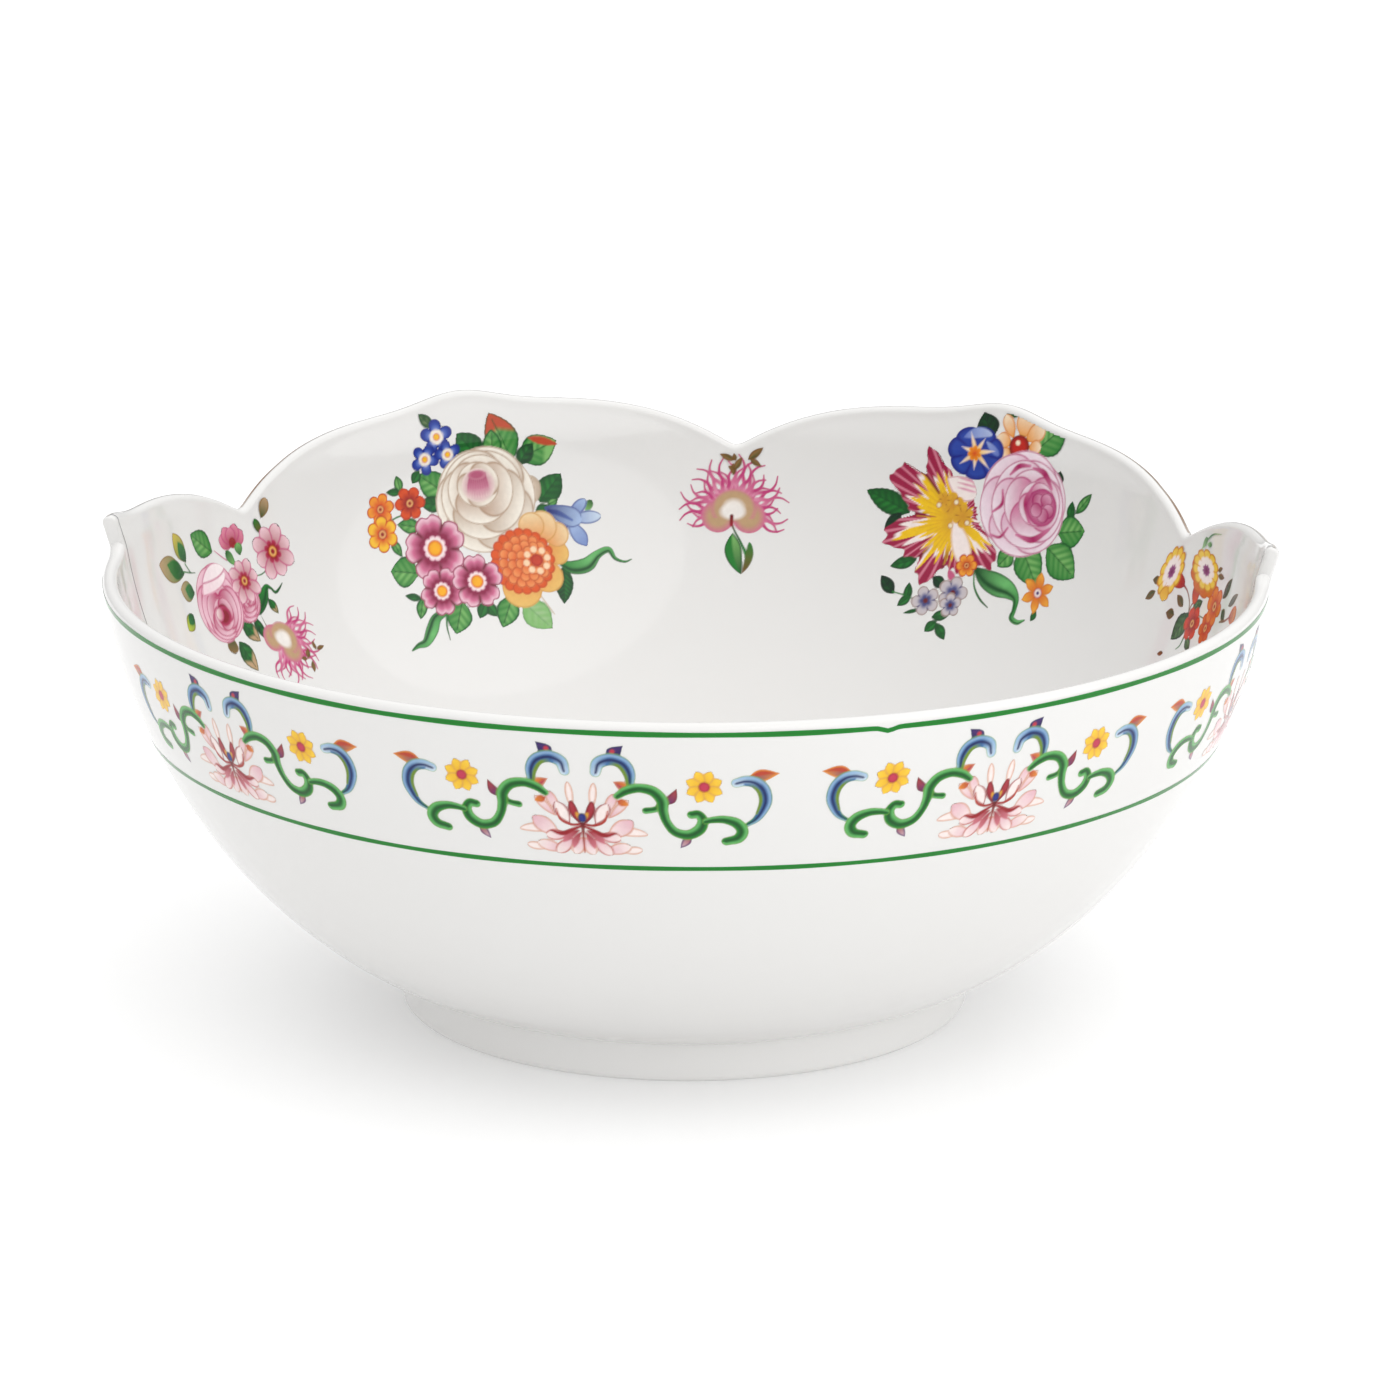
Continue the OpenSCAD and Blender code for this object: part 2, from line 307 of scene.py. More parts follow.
def porcelain(name, colour):
    """White body under a clear glaze: a faint drift of tone, and a glaze that isn't quite flat."""
    material, nodes, links, shader = new_material(name)
    where = nodes.new("ShaderNodeTexCoord")
    cloud = set_inputs(nodes.new("ShaderNodeTexNoise"), Scale=14, Detail=3)
    links.new(where.outputs["Object"], cloud.inputs["Vector"])
    drift = nodes.new("ShaderNodeMix")
    drift.data_type = "RGBA"
    drift.inputs["A"].default_value = (*colour, 1)
    drift.inputs["B"].default_value = (*[c * w for c, w in zip(colour, WARMTH)], 1)
    links.new(cloud.outputs["Fac"], drift.inputs["Factor"])
    links.new(drift.outputs["Result"], shader.inputs["Base Color"])
    pool = set_inputs(nodes.new("ShaderNodeTexNoise"), Scale=55, Detail=2)
    links.new(where.outputs["Object"], pool.inputs["Vector"])
    gloss = set_inputs(nodes.new("ShaderNodeMapRange"), To_Min=0.049, To_Max=0.091)
    links.new(pool.outputs["Fac"], gloss.inputs["Value"])
    links.new(gloss.outputs["Result"], shader.inputs["Roughness"])
    ripple = set_inputs(nodes.new("ShaderNodeBump"), Strength=0.04, Distance=0.002)
    links.new(cloud.outputs["Fac"], ripple.inputs["Height"])
    links.new(ripple.outputs["Normal"], shader.inputs["Normal"])
    set_inputs(shader, IOR=GLASS_IOR)
    return material


def enamel(name, roughness, metallic):
    """Fired colour from the piece's own painted points, with a slight mottle in the pigment."""
    material, nodes, links, shader = new_material(name)
    paint = nodes.new("ShaderNodeAttribute")
    paint.attribute_name = "enamel"
    where = nodes.new("ShaderNodeTexCoord")
    mottle = set_inputs(nodes.new("ShaderNodeTexNoise"), Scale=700, Detail=2)
    links.new(where.outputs["Object"], mottle.inputs["Vector"])
    level = set_inputs(nodes.new("ShaderNodeMapRange"), To_Min=0.9, To_Max=1.08)
    links.new(mottle.outputs["Fac"], level.inputs["Value"])
    shaded = nodes.new("ShaderNodeVectorMath")
    shaded.operation = "SCALE"
    links.new(paint.outputs["Color"], shaded.inputs[0])
    links.new(level.outputs["Result"], shaded.inputs["Scale"])
    links.new(shaded.outputs["Vector"], shader.inputs["Base Color"])
    set_inputs(shader, Roughness=roughness, Metallic=metallic, IOR=GLASS_IOR, Specular_IOR_Level=0.3)
    return material


# ---- the bowl's body ------------------------------------------------------------------------------

BODY = porcelain("porcelain_glaze", (0.73, 0.725, 0.715))
# The foot's glaze is a lighter copy of the body's glaze: painted light that brightens the foot beyond what
# the lamps give it.
FOOT_PAINTED_LIGHTER = porcelain("porcelain_foot_glaze_painted_lighter", (0.85, 0.845, 0.835))
ENAMEL = enamel("fired_enamel", roughness=0.1, metallic=0)
GILT = enamel("fired_gilt", roughness=0.3, metallic=0.5)


def scalloped_lip(azimuth):
    """Half the wall's thickness at the scalloped rim: full at the seam, a little thinner along the lobes."""
    return WALL_T / 2 - 0.2 * sine(azimuth)


def end_rounding(gap, radius=0.9):
    """How far a section is drawn in at a distance from a rounded end."""
    return radius - math.sqrt(max(radius**2 - max(radius - gap, 0) ** 2, 0)) if gap < radius else 0


def round_top(azimuth):
    """The round rim's height, with a little glaze gathered in the corner against the taller half."""
    gap = min(azimuth % 180, 180 - azimuth % 180) * math.radians(RIM_R)
    return RIM_H + 1.8 * math.exp(-gap / 2.5)


scalloped = half_wall("scalloped_wall_glazed", "scalloped_wall", 0,
                      lambda a: float(rim_height(a)), scalloped_lip, end_rounding)
rounded = half_wall("round_wall_glazed", "round_wall", 180,
                    round_top, lambda a: WALL_T / 2, lambda gap: 0)
foot = spun("foot_ring_glazed", "foot_ring",
            [(FOOT_R - 9, UNDER_Z)] + corner(FOOT_R - 7, 2, 2, 180, 270) + corner(FOOT_R - 2.8, 2, 2,
                                                                                  270,
                                                                                  360) + [(FOOT_R - 0.45,
                                                                                           5.8), (FOOT_R,
                                                                                                  UNDER_Z)])
for piece, material in ((scalloped, BODY), (rounded, BODY), (foot, FOOT_PAINTED_LIGHTER)):
    piece.data.materials.append(material)

# ---- painting -------------------------------------------------------------------------------------

# The fineness of a painting's grid, and the softness of a painted edge, in millimetres
GRAIN, SOFT = 0.3, 0.4
# The porcelain's reflectance against a screen colour, and the white haze that the glaze adds
GAIN, HAZE = 0.93, 0.022


def tone(*rgb):
    """A screen colour from 0 to 255 as the reflectance that gives it under this light."""
    return np.array([max(v - HAZE, 0.4 * v) * GAIN for v in ((c / 255) ** 2.2 for c in rgb)])


# The bare glaze, under a painting's soft edges
WHITE = tone(233, 232, 228)



def mixed(a, b, t):
    """Colours between a and b, for an array t from 0 to 1."""
    t = np.clip(t, 0, 1)[..., None]
    return a * (1 - t) + b * t


def bands(t, *stops):
    """Colours along t from (place, colour) stops."""
    places = [s[0] for s in stops]
    return np.stack([np.interp(t, places, [s[1][k] for s in stops]) for k in range(3)], -1)


def smooth_path(points, per=8):
    """A smooth line through the points, with their third and later values carried along."""
    p = np.array(points, float)
    p = np.vstack([2 * p[0] - p[1], p, 2 * p[-1] - p[-2]])
    t = np.linspace(0, 1, per, endpoint=False)[:, None]
    spans = []
    for a, b, c, d in zip(p, p[1:], p[2:], p[3:]):
        square, cube = 2 * a - 5 * b + 4 * c - d, 3 * b - a - 3 * c + d
        spans.append(0.5 * (2 * b + (c - a) * t + square * t**2 + cube * t**3))
    return np.vstack(spans + [p[-2:-1]])


class Painting:
    """A transfer while it is painted: a fine grid in millimetres, u to the viewer's right and v up the wall.

    Each shape gives its distance outside its own outline, and keep=False paints only over what is there.
    """

    def __init__(self, left, right, low, high):
        self.axis_u = np.arange(left, right + GRAIN / 2, GRAIN)
        self.axis_v = np.arange(low, high + GRAIN / 2, GRAIN)
        self.u, self.v = np.meshgrid(self.axis_u, self.axis_v)
        self.edge = np.full(self.u.shape, 5.0)
        self.paint = np.tile(WHITE, (*self.u.shape, 1))

    def near(self, x, y, reach):
        """The grid's points round a place: their slice, and their offsets from it."""
        i0, i1 = np.searchsorted(self.axis_u, [x - reach, x + reach])
        j0, j1 = np.searchsorted(self.axis_v, [y - reach, y + reach])
        part = (slice(j0, j1), slice(i0, i1))
        return part, self.u[part] - x, self.v[part] - y

    def lay(self, part, distance, colour, keep=True, soft=SOFT):
        """Paints where the distance is below nought, and with keep takes the shape into the outline."""
        cover = np.clip(0.5 - distance / soft, 0, 1)[..., None]
        self.paint[part] = self.paint[part] * (1 - cover) + colour * cover
        if keep:
            self.edge[part] = np.minimum(self.edge[part], distance)

    def turned(self, x, y, angle, reach):
        """The grid's points round a place, with their offsets along an angle and across it."""
        part, du, dv = self.near(x, y, reach)
        c, s = cosine(angle), sine(angle)
        return part, du * c + dv * s, dv * c - du * s

    def dot(self, x, y, r, colour, keep=True, squash=1.0, angle=0, rim=None):
        """Round spot, squashed across its own angle, with an optional darker rim."""
        part, p, q = self.turned(x, y, angle, r * 1.2 + 1)
        rho = np.hypot(p, q / squash)
        far = (rho - r) * (squash if squash < 1 else 1)
        self.lay(part, far, colour if rim is None else bands(rho / r, (0, colour), (0.55, colour),
                                                             (1, rim)), keep)

    def petal(self, x, y, angle, length, width, base, tip, edge=None, fat=0.6, point=0.5, bend=0.0,
              line=0.3, keep=True, split=None):
        """Petal or leaf from its foot at x, y, widest at fat of its length, its tip sharp or round by point.

        base and tip are the colours along it, edge a fine outline, and split the colour of its far side.
        bend moves its middle sideways.
        """
        part, p, q = self.turned(x, y, angle, length + abs(bend) + 2)
        t = np.clip(p / length, 0, 1)
        q = q - bend * 4 * t * (1 - t)
        rise = np.clip(t / fat, 0, 1)
        fall = np.clip((1 - t) / (1 - fat), 0, 1)
        half = width / 2 * np.minimum(np.sin(rise * np.pi / 2) ** 0.8, np.sin(fall * np.pi / 2) ** point)
        beyond = np.maximum(np.maximum(-p, p - length), 0)
        side = np.abs(q) - half
        far = np.where(beyond > 0, np.hypot(beyond, np.abs(q)), side * 0.85)
        colour = mixed(base, tip, t)
        if split is not None:
            colour = mixed(colour, split, q / 0.6 + 0.5)
        self.lay(part, far, colour, keep)
        if edge is not None:
            self.lay(part, np.maximum(np.abs(far + line / 2) - line / 2, far), edge, False)

    def stroke(self, points, *stops, keep=True, core=None, rim=None, light=None):
        """Tube along a smooth line: points are x, y and radius, stops colour it along its length.

        core darkens its middle, rim its two edges, and light puts a highlight on its upper side. core and
        light are each a place across it from -1 to 1, a colour and a spread.
        """
        path = smooth_path(points)
        length = np.concatenate([[0], np.cumsum(np.hypot(*np.diff(path[:, :2], axis=0).T))])
        low, high = path[:, :2].min(0) - path[:, 2].max() - 1, path[:, :2].max(0) + path[:, 2].max() + 1
        i0, i1 = np.searchsorted(self.axis_u, [low[0], high[0]])
        j0, j1 = np.searchsorted(self.axis_v, [low[1], high[1]])
        part = (slice(j0, j1), slice(i0, i1))
        u, v = self.u[part], self.v[part]
        best = np.full(u.shape, 99.0)
        along = np.zeros(u.shape)
        side = np.zeros(u.shape)
        wide = np.ones(u.shape)
        for a, b, la, lb in zip(path, path[1:], length, length[1:]):
            step = b[:2] - a[:2]
            t = np.clip(((u - a[0]) * step[0] + (v - a[1]) * step[1]) / max(step @ step, 1e-9), 0, 1)
            r = a[2] + (b[2] - a[2]) * t
            away = np.hypot(u - a[0] - step[0] * t, v - a[1] - step[1] * t)
            hit = away - r < best
            best = np.where(hit, away - r, best)
            along = np.where(hit, la + (lb - la) * t, along)
            sign = np.sign((v - a[1]) * step[0] - (u - a[0]) * step[1])
            side = np.where(hit, sign * away / np.maximum(r, 0.05), side)
            wide = np.where(hit, r, wide)
        along = along / length[-1]
        colour = bands(along, *stops)
        if core is not None:
            place, dark, spread = core
            colour = mixed(colour, dark, np.exp(-(((side - place) / spread) ** 2)))
        if light is not None:
            place, bright, spread = light
            colour = mixed(colour, bright, 0.8 * np.exp(-(((side - place) / spread) ** 2)))
        if rim is not None:
            colour = mixed(colour, rim, (np.abs(side) - 0.72) / 0.28)
        self.lay(part, best, colour, keep)

    def bloom(self, x, y, r, petals, *stops, turn=90, notch=0.22, crease=None, power=0.6, keep=True,
              squash=1.0, angle=0, edge=None, cleft=0.0):
        """Open flower of rounded petals, coloured outwards from its middle by stops from 0 to 1."""
        part, p, q = self.turned(x, y, angle, r * 1.15 + 1)
        q = q / squash
        rho = np.hypot(p, q)
        theta = np.degrees(np.arctan2(q, p)) - turn
        wave = np.abs(cosine(theta * petals / 2))
        reach = r * (1 - notch + notch * wave**power)
        if cleft:
            reach = reach - r * cleft * np.exp(-((((theta * petals / 360 + 0.5) % 1 - 0.5) / 0.09) ** 2))
        colour = bands(np.clip(rho / reach, 0, 1), *stops)
        if crease is not None:
            fold = np.exp(-((wave / 0.28) ** 2)) * np.clip((rho / r - 0.25) / 0.3, 0, 1)
            colour = mixed(colour, crease, fold)
        far = (rho - reach) * min(squash, 1)
        self.lay(part, far, colour, keep)
        if edge is not None:
            self.lay(part, np.maximum(np.abs(far + 0.15) - 0.18, far), edge, False)

    def cup(self, x, y, r, angle, dark, light, line, squash=1.0, keep=True, sharp=1.0):
        """Cupped petal, dark at its foot and light at its lip, with a fine line. angle is towards its lip."""
        part, p, q = self.turned(x, y, angle, r * max(1, squash) + 1)
        q = q / squash
        rho = np.hypot(p, q)
        colour = mixed(dark, light, np.clip(p / r * 0.5 + 0.5, 0, 1) ** sharp)
        far = (rho - r) * min(squash, 1)
        self.lay(part, far, colour, keep)
        self.lay(part, np.maximum(np.abs(far + 0.15) - 0.14, far), line, False)


# ---- the outer frieze -----------------------------------------------------------------------------

LEAF = tone(46, 136, 62)
LEAF_DARK = tone(12, 88, 42)
LEAF_LIGHT = tone(112, 186, 112)
LEAF_RIM = tone(116, 160, 70)
SKY = tone(150, 182, 214)
BLUE = tone(66, 108, 164)
NAVY = tone(28, 46, 92)
OLIVE = tone(112, 140, 62)
PURPLE = tone(78, 56, 108)
ORANGE = tone(224, 142, 66)
BRICK = tone(184, 78, 62)
CRIMSON = tone(152, 42, 56)
BLUSH = tone(226, 176, 188)
PETAL_WHITE = tone(246, 232, 228)
TAN = tone(210, 150, 122)


def mirror_halves(painting):
    """Copies the painting's right half onto its left half."""
    middle = painting.axis_u.size // 2
    for field in (painting.edge, painting.paint):
        field[:, :middle] = field[:, ::-1][:, :middle]


def vine(a, points, **also):
    """Green tube of the scroll, dark in its core, light above."""
    look = dict(core=(-0.15, LEAF_DARK, 0.42), light=(0.62, LEAF_LIGHT, 0.3), rim=LEAF_RIM)
    a.stroke(points, (0, LEAF), (1, LEAF), **{**look, **also})


def blue_hook(a, points, side):
    """Blue tube, pale at its free end, with its hollow side green."""
    a.stroke(points, (0, tone(206, 224, 240)), (0.16, SKY), (0.34, BLUE), (0.8, BLUE), (1, LEAF),
             core=(-0.1, NAVY, 0.3), light=(side * 0.6, SKY, 0.28), rim=LEAF_RIM)


def star_flower(a, x, y, r):
    """Yellow flower of eight pointed petals round a magenta eye."""
    yellow, amber, rim = tone(250, 208, 76), tone(232, 172, 44), tone(216, 158, 84)
    for k in range(8):
        a.petal(x, y, 22.5 + 45 * k, r, r * 0.56, amber, yellow, edge=rim, fat=0.62, point=0.7, line=0.25)
    a.dot(x, y, 1.35, tone(196, 70, 92), rim=tone(158, 46, 60))


def lotus(a):
    """The lotus at the scroll's middle: pale petals with fine outlines round crimson ones."""
    edge = dict(edge=TAN, line=0.3)
    a.petal(2.3, -1.5, 84, 7.6, 2.0, PETAL_WHITE, PETAL_WHITE, **edge)
    a.petal(5.4, -2.5, 66, 6.4, 2.6, PETAL_WHITE, BLUSH, **edge)
    a.petal(6.2, -3.6, 48, 7.2, 2.2, BLUSH, PETAL_WHITE, **edge)
    a.petal(3.0, -5.4, 62, 6.6, 3.4, PETAL_WHITE, PETAL_WHITE, edge=CRIMSON, line=0.35)
    a.petal(5.2, -8.2, 2, 10, 2.6, PETAL_WHITE, PETAL_WHITE, bend=0.8, **edge)
    a.petal(5.6, -9.2, 40, 8.2, 4.4, PETAL_WHITE, BLUSH, point=0.7, **edge)
    a.petal(3.4, -8.6, -6, 5.6, 3.2, BLUSH, PETAL_WHITE, edge=BRICK, line=0.3)
    a.petal(8.4, -13, 8, 5.4, 2.4, PETAL_WHITE, PETAL_WHITE, **edge)
    a.petal(4.6, -13.4, 18, 6.8, 3.4, BLUSH, PETAL_WHITE, **edge)
    a.petal(2.4, -9.6, -48, 6.2, 3.2, BLUSH, PETAL_WHITE, edge=BRICK, line=0.3)
    a.petal(0.2, -9.2, -68, 5.6, 3.0, BLUSH, PETAL_WHITE, **edge)
    a.petal(0.7, -7.2, -42, 5.6, 2.0, CRIMSON, tone(206, 122, 134), bend=0.5, point=0.8)
    a.petal(0.3, -7.6, -66, 5.4, 1.7, CRIMSON, tone(206, 122, 134), bend=0.4, point=0.8)
    a.stroke([(0.2, -6, 0.3), (2.6, -7.2, 0.5), (5, -8.4, 0.65), (7.6, -7.8, 0.2)], (0, CRIMSON),
             (1, CRIMSON))
    a.stroke([(0.2, -5.5, 0.3), (2.8, -5.7, 0.42), (5.2, -4.4, 0.34), (6, -1.6, 0.15)], (0, CRIMSON),
             (1, BRICK))
    a.petal(0.5, -5.4, 72, 6.6, 2.1, CRIMSON, tone(170, 66, 76), edge=tone(120, 26, 40), bend=-0.3,
            line=0.3)
    a.stroke([(0, -5.4, 0.55), (0, -9, 0.3), (0, -13.8, 0.12)], (0, tone(110, 26, 38)), (1, BRICK))
    a.petal(0, -4.8, 62, 3, 1.0, tone(232, 190, 84), tone(214, 150, 62))
    a.dot(0, -3.7, 1.35, tone(52, 62, 132), squash=0.75, angle=90, rim=tone(22, 28, 66))


def paint_lotus_scroll(a):
    """One unit of the frieze, a lotus between two scrolls that mirror each other."""
    lotus(a)
    a.petal(6.6, 12.6, 42, 5.0, 3.4, NAVY, PURPLE, fat=0.3, point=1.2, edge=NAVY, split=PURPLE)
    a.dot(7.7, 14.3, 0.6, tone(190, 62, 84), rim=BRICK)
    a.petal(11.6, 4.4, 152, 4.6, 2.6, ORANGE, BRICK, fat=0.4, point=1.1, edge=TAN, split=tone(176, 74, 84))
    a.petal(8.4, 1.4, -22, 3.0, 2.0, BRICK, ORANGE, fat=0.4, point=1.1)
    a.petal(19.7, 0.6, 60, 5.2, 2.3, PURPLE, BRICK, fat=0.35, point=1.1, bend=-0.3, edge=tone(120, 50, 66))
    a.petal(25, -8.2, -128, 4.4, 2.0, CRIMSON, tone(206, 180, 188), fat=0.4, point=1.0, edge=PURPLE)
    a.petal(38.8, 7.6, 8, 7.6, 3.2, PURPLE, ORANGE, fat=0.4, point=1.2, bend=0.2, edge=ORANGE, split=BRICK)
    hook = [(3.6, 8.8, 1.35), (4.4, 11.2, 1.6), (7.2, 12.3, 1.6), (10.2, 11.3, 1.6), (11.6, 8.8, 1.4),
            (11.6, 5.6, 0.9)]
    blue_hook(a, hook, 1)
    a.stroke([(6.4, 10.9, 0.25), (7.6, 11.2, 0.4), (9.3, 10.4, 0.5), (10.5, 8.4, 0.5), (11, 6, 0.3)],
             (0, BLUE), (0.3, OLIVE), (1, OLIVE))
    cup = [(36, 6.4, 1.25), (38.2, 6.9, 1.45), (40.5, 6.4, 1.55), (42.3, 4.5, 1.6), (42.8, 1.5, 1.45),
           (41.8, -1.3, 1.2), (40.2, -3.6, 0.9), (38.2, -5, 0.6)]
    blue_hook(a, cup, 1)
    a.stroke([(38, 6, 0.25), (39.8, 5.4, 0.4), (41.2, 3.6, 0.5), (41.4, 1, 0.45), (40.4, -2, 0.3)],
             (0, BLUE), (0.3, OLIVE), (1, OLIVE))
    vine(a, [(18.6, 1.4, 0.8), (17.4, -0.5, 0.85), (14.9, -1.1, 0.95)])
    vine(a, [(8.4, 2.7, 0.9), (10.6, 4.2, 1.2), (13.6, 5, 1.3), (16.8, 4.2, 1.45), (18.7, 1.8, 1.5),
             (18.9, -1.2, 1.3), (19.6, -4.2, 1.15), (21.4, -6.9, 1.3), (24.4, -7.7, 1.45),
             (27, -6.2, 1.5), (27.9, -3.8, 1.35), (27, -2.0, 1.2), (25.4, -2.1, 1.15)])
    vine(a, [(28.6, -3.9, 0.8), (30.4, -3.5, 1.0), (33, -3.5, 1.2), (35.7, -4.6, 1.5), (36.9, -6.8, 1.5),
             (35.8, -8.9, 1.4), (33, -9.7, 1.2)])
    star_flower(a, 28.6, 5.4, 4.6)
    mirror_halves(a)


# ---- the flowers inside ---------------------------------------------------------------------------

GREEN = tone(52, 126, 62)
GREEN_DARK = tone(14, 82, 44)
GREEN_LIGHT = tone(128, 184, 108)
GREEN_PALE = tone(158, 192, 142)
GREEN_DEEP = tone(8, 58, 38)
RUST = tone(190, 84, 62)
BURGUNDY = tone(142, 44, 80)
ROSE = tone(206, 112, 146)
PINK = tone(232, 170, 192)
STONE = tone(206, 188, 168)
YELLOW = tone(244, 190, 62)
VERMILION = tone(214, 84, 34)
DEEP_RED = tone(150, 36, 28)
BROWN = tone(118, 82, 48)
COBALT = tone(62, 82, 164)
COBALT_DARK = tone(38, 50, 128)
# The look of leaves in shade
SHADED = dict(light=GREEN, dark=GREEN_DARK)


def leaf(a, x, y, angle, length, width, light=GREEN_LIGHT, dark=GREEN, tip=None, rim=GREEN_DARK,
         bend=0.0, fat=0.45, ribs=2.2):
    """Leaf with a dark outline, one half in shade, a midrib, and light between slanting side veins."""
    part, p, q = a.turned(x, y, angle, length + abs(bend) + 2)
    t = np.clip(p / length, 0, 1)
    q = q - bend * 4 * t * (1 - t)
    rise, fall = np.clip(t / fat, 0, 1), np.clip((1 - t) / (1 - fat), 0, 1)
    half = width / 2 * np.minimum(np.sin(rise * np.pi / 2) ** 0.8, np.sin(fall * np.pi / 2) ** 0.85)
    toothed = 0.02 * length * (np.abs(p / 1.5 % 1 - 0.5) - 0.25) if length > 8 else 0
    beyond = np.maximum(np.maximum(-p, p - length), 0)
    far = np.where(beyond > 0, np.hypot(beyond, np.abs(q)), (np.abs(q) - half - toothed) * 0.85)
    across = np.clip(np.abs(q) / np.maximum(half, 0.3), 0, 1)
    stripe = 0.5 + 0.5 * np.cos(2 * np.pi * (p - 0.8 * np.abs(q)) / (ribs or 99))
    lit = np.where(q > 0, 0.95, 0.5) * (1 - across**2.2) * np.sin(np.pi * t) ** 0.4
    if length > 5:
        lit = lit * (0.35 + 0.65 * stripe)
    colour = mixed(dark, light, lit)
    if tip is not None:
        colour = mixed(colour, tip, (t - 0.62 + 0.2 * across) / 0.12)
    a.lay(part, far, colour)
    a.lay(part, np.maximum(np.abs(far + 0.2) - 0.18, far), rim, False)
    a.lay(part, np.maximum(np.abs(q) - 0.12, np.maximum(p - length * 0.86, -p)), rim, False)


def leaves(a, *spots):
    """Leaves in painting order: each one's place, angle, length and width, and then any look it has."""
    for x, y, angle, length, width, *look in spots:
        leaf(a, x, y, angle, length, width, **(look[0] if look else {}))


def stem(a, *points):
    """Fine green stem, darker towards its last point."""
    a.stroke(points, (0, GREEN), (1, GREEN_DARK))


def rose(a, x, y, r, deep, mid, lip, line, heart, lean=(0.0, 0.2), turn=0):
    """Cabbage rose: rings of cupped petals closing round a heart, which sits off its middle by lean."""
    for ring, (count, out, size) in enumerate([(6, 0.52, 0.55), (5, 0.4, 0.5), (4, 0.28, 0.42),
                                               (4, 0.18, 0.28)]):
        shift = (ring + 1) / 4
        cx, cy = x + lean[0] * r * shift, y + lean[1] * r * shift
        for k in range(count):
            way = turn + 360 * k / count + 37 * ring
            px, py = cx + out * r * cosine(way), cy + out * r * sine(way)
            a.cup(px, py, size * r, way, mid if ring < 2 else deep, lip, line, squash=1.3, sharp=1.7)
    cx, cy = x + lean[0] * r, y + lean[1] * r
    a.dot(cx, cy, 0.27 * r, deep, rim=heart)
    a.cup(cx - 0.04 * r, cy - 0.1 * r, 0.17 * r, -90, heart, lip, line)


def primula(a, x, y, r, turn):
    """Five notched burgundy petals, pale towards their edges, round a white ring and an orange eye."""
    a.bloom(x, y, r, 5, (0, BURGUNDY), (0.5, BURGUNDY), (0.74, ROSE), (0.93, tone(238, 196, 210)),
            (1, ROSE), turn=turn, notch=0.3, crease=tone(116, 30, 62), power=0.5, cleft=0.1,
            edge=BURGUNDY)
    a.bloom(x, y, r * 0.37, 10, (0, PETAL_WHITE), (0.8, PETAL_WHITE), (1, PINK), turn=turn, notch=0.16)
    a.dot(x, y, r * 0.24, tone(248, 176, 40), rim=tone(214, 96, 40))


def forget_me_not(a, x, y, r, turn):
    """Five notched blue petals round a white star and a yellow eye."""
    a.bloom(x, y, r, 5, (0, PETAL_WHITE), (0.32, PETAL_WHITE), (0.5, tone(104, 124, 192)),
            (0.7, COBALT), (1, COBALT_DARK), turn=turn, notch=0.42, crease=COBALT_DARK, power=0.7)
    a.bloom(x, y, r * 0.42, 5, (0, PETAL_WHITE), (1, tone(240, 232, 214)), turn=turn + 36, notch=0.5)
    a.dot(x, y, r * 0.2, YELLOW, rim=VERMILION)


def orange_flower(a, x, y, r, turn, inner=VERMILION, outer=YELLOW):
    """Six petals, red at the foot and yellow at the tip, round a pale eye."""
    a.bloom(x, y, r, 6, (0, DEEP_RED), (0.3, inner), (0.72, outer), (0.88, outer), (1, DEEP_RED),
            turn=turn, notch=0.3, crease=inner, power=0.6, edge=tone(196, 70, 30))
    a.dot(x, y, r * 0.26, tone(248, 190, 120), rim=DEEP_RED)
    a.dot(x, y, r * 0.12, DEEP_RED)


def marigold(a, x, y, r):
    """Tight head of small scaly petals in rings, with a red eye to one side."""
    orange, lip, line = tone(220, 94, 44), tone(242, 160, 100), tone(188, 78, 40)
    for ring in range(5):
        out = r * (0.86 - 0.19 * ring)
        count = max(5, round(out * 2.6))
        for k in range(count):
            way = 360 * k / count + 13 * ring
            lean = 0.3 * ring / 4 * r
            px, py = x + lean + out * cosine(way), y + out * sine(way)
            a.cup(px, py, r * 0.17, way, orange, lip if ring else orange, line)
    for k in range(8):
        way = math.radians(45 * k + 10)
        a.dot(x + (0.46 + 0.34 * math.cos(way)) * r, y + 0.34 * math.sin(way) * r, 0.1 * r,
              tone(250, 214, 176))
    a.dot(x + 0.46 * r, y, r * 0.19, tone(196, 74, 56), rim=tone(168, 48, 40))


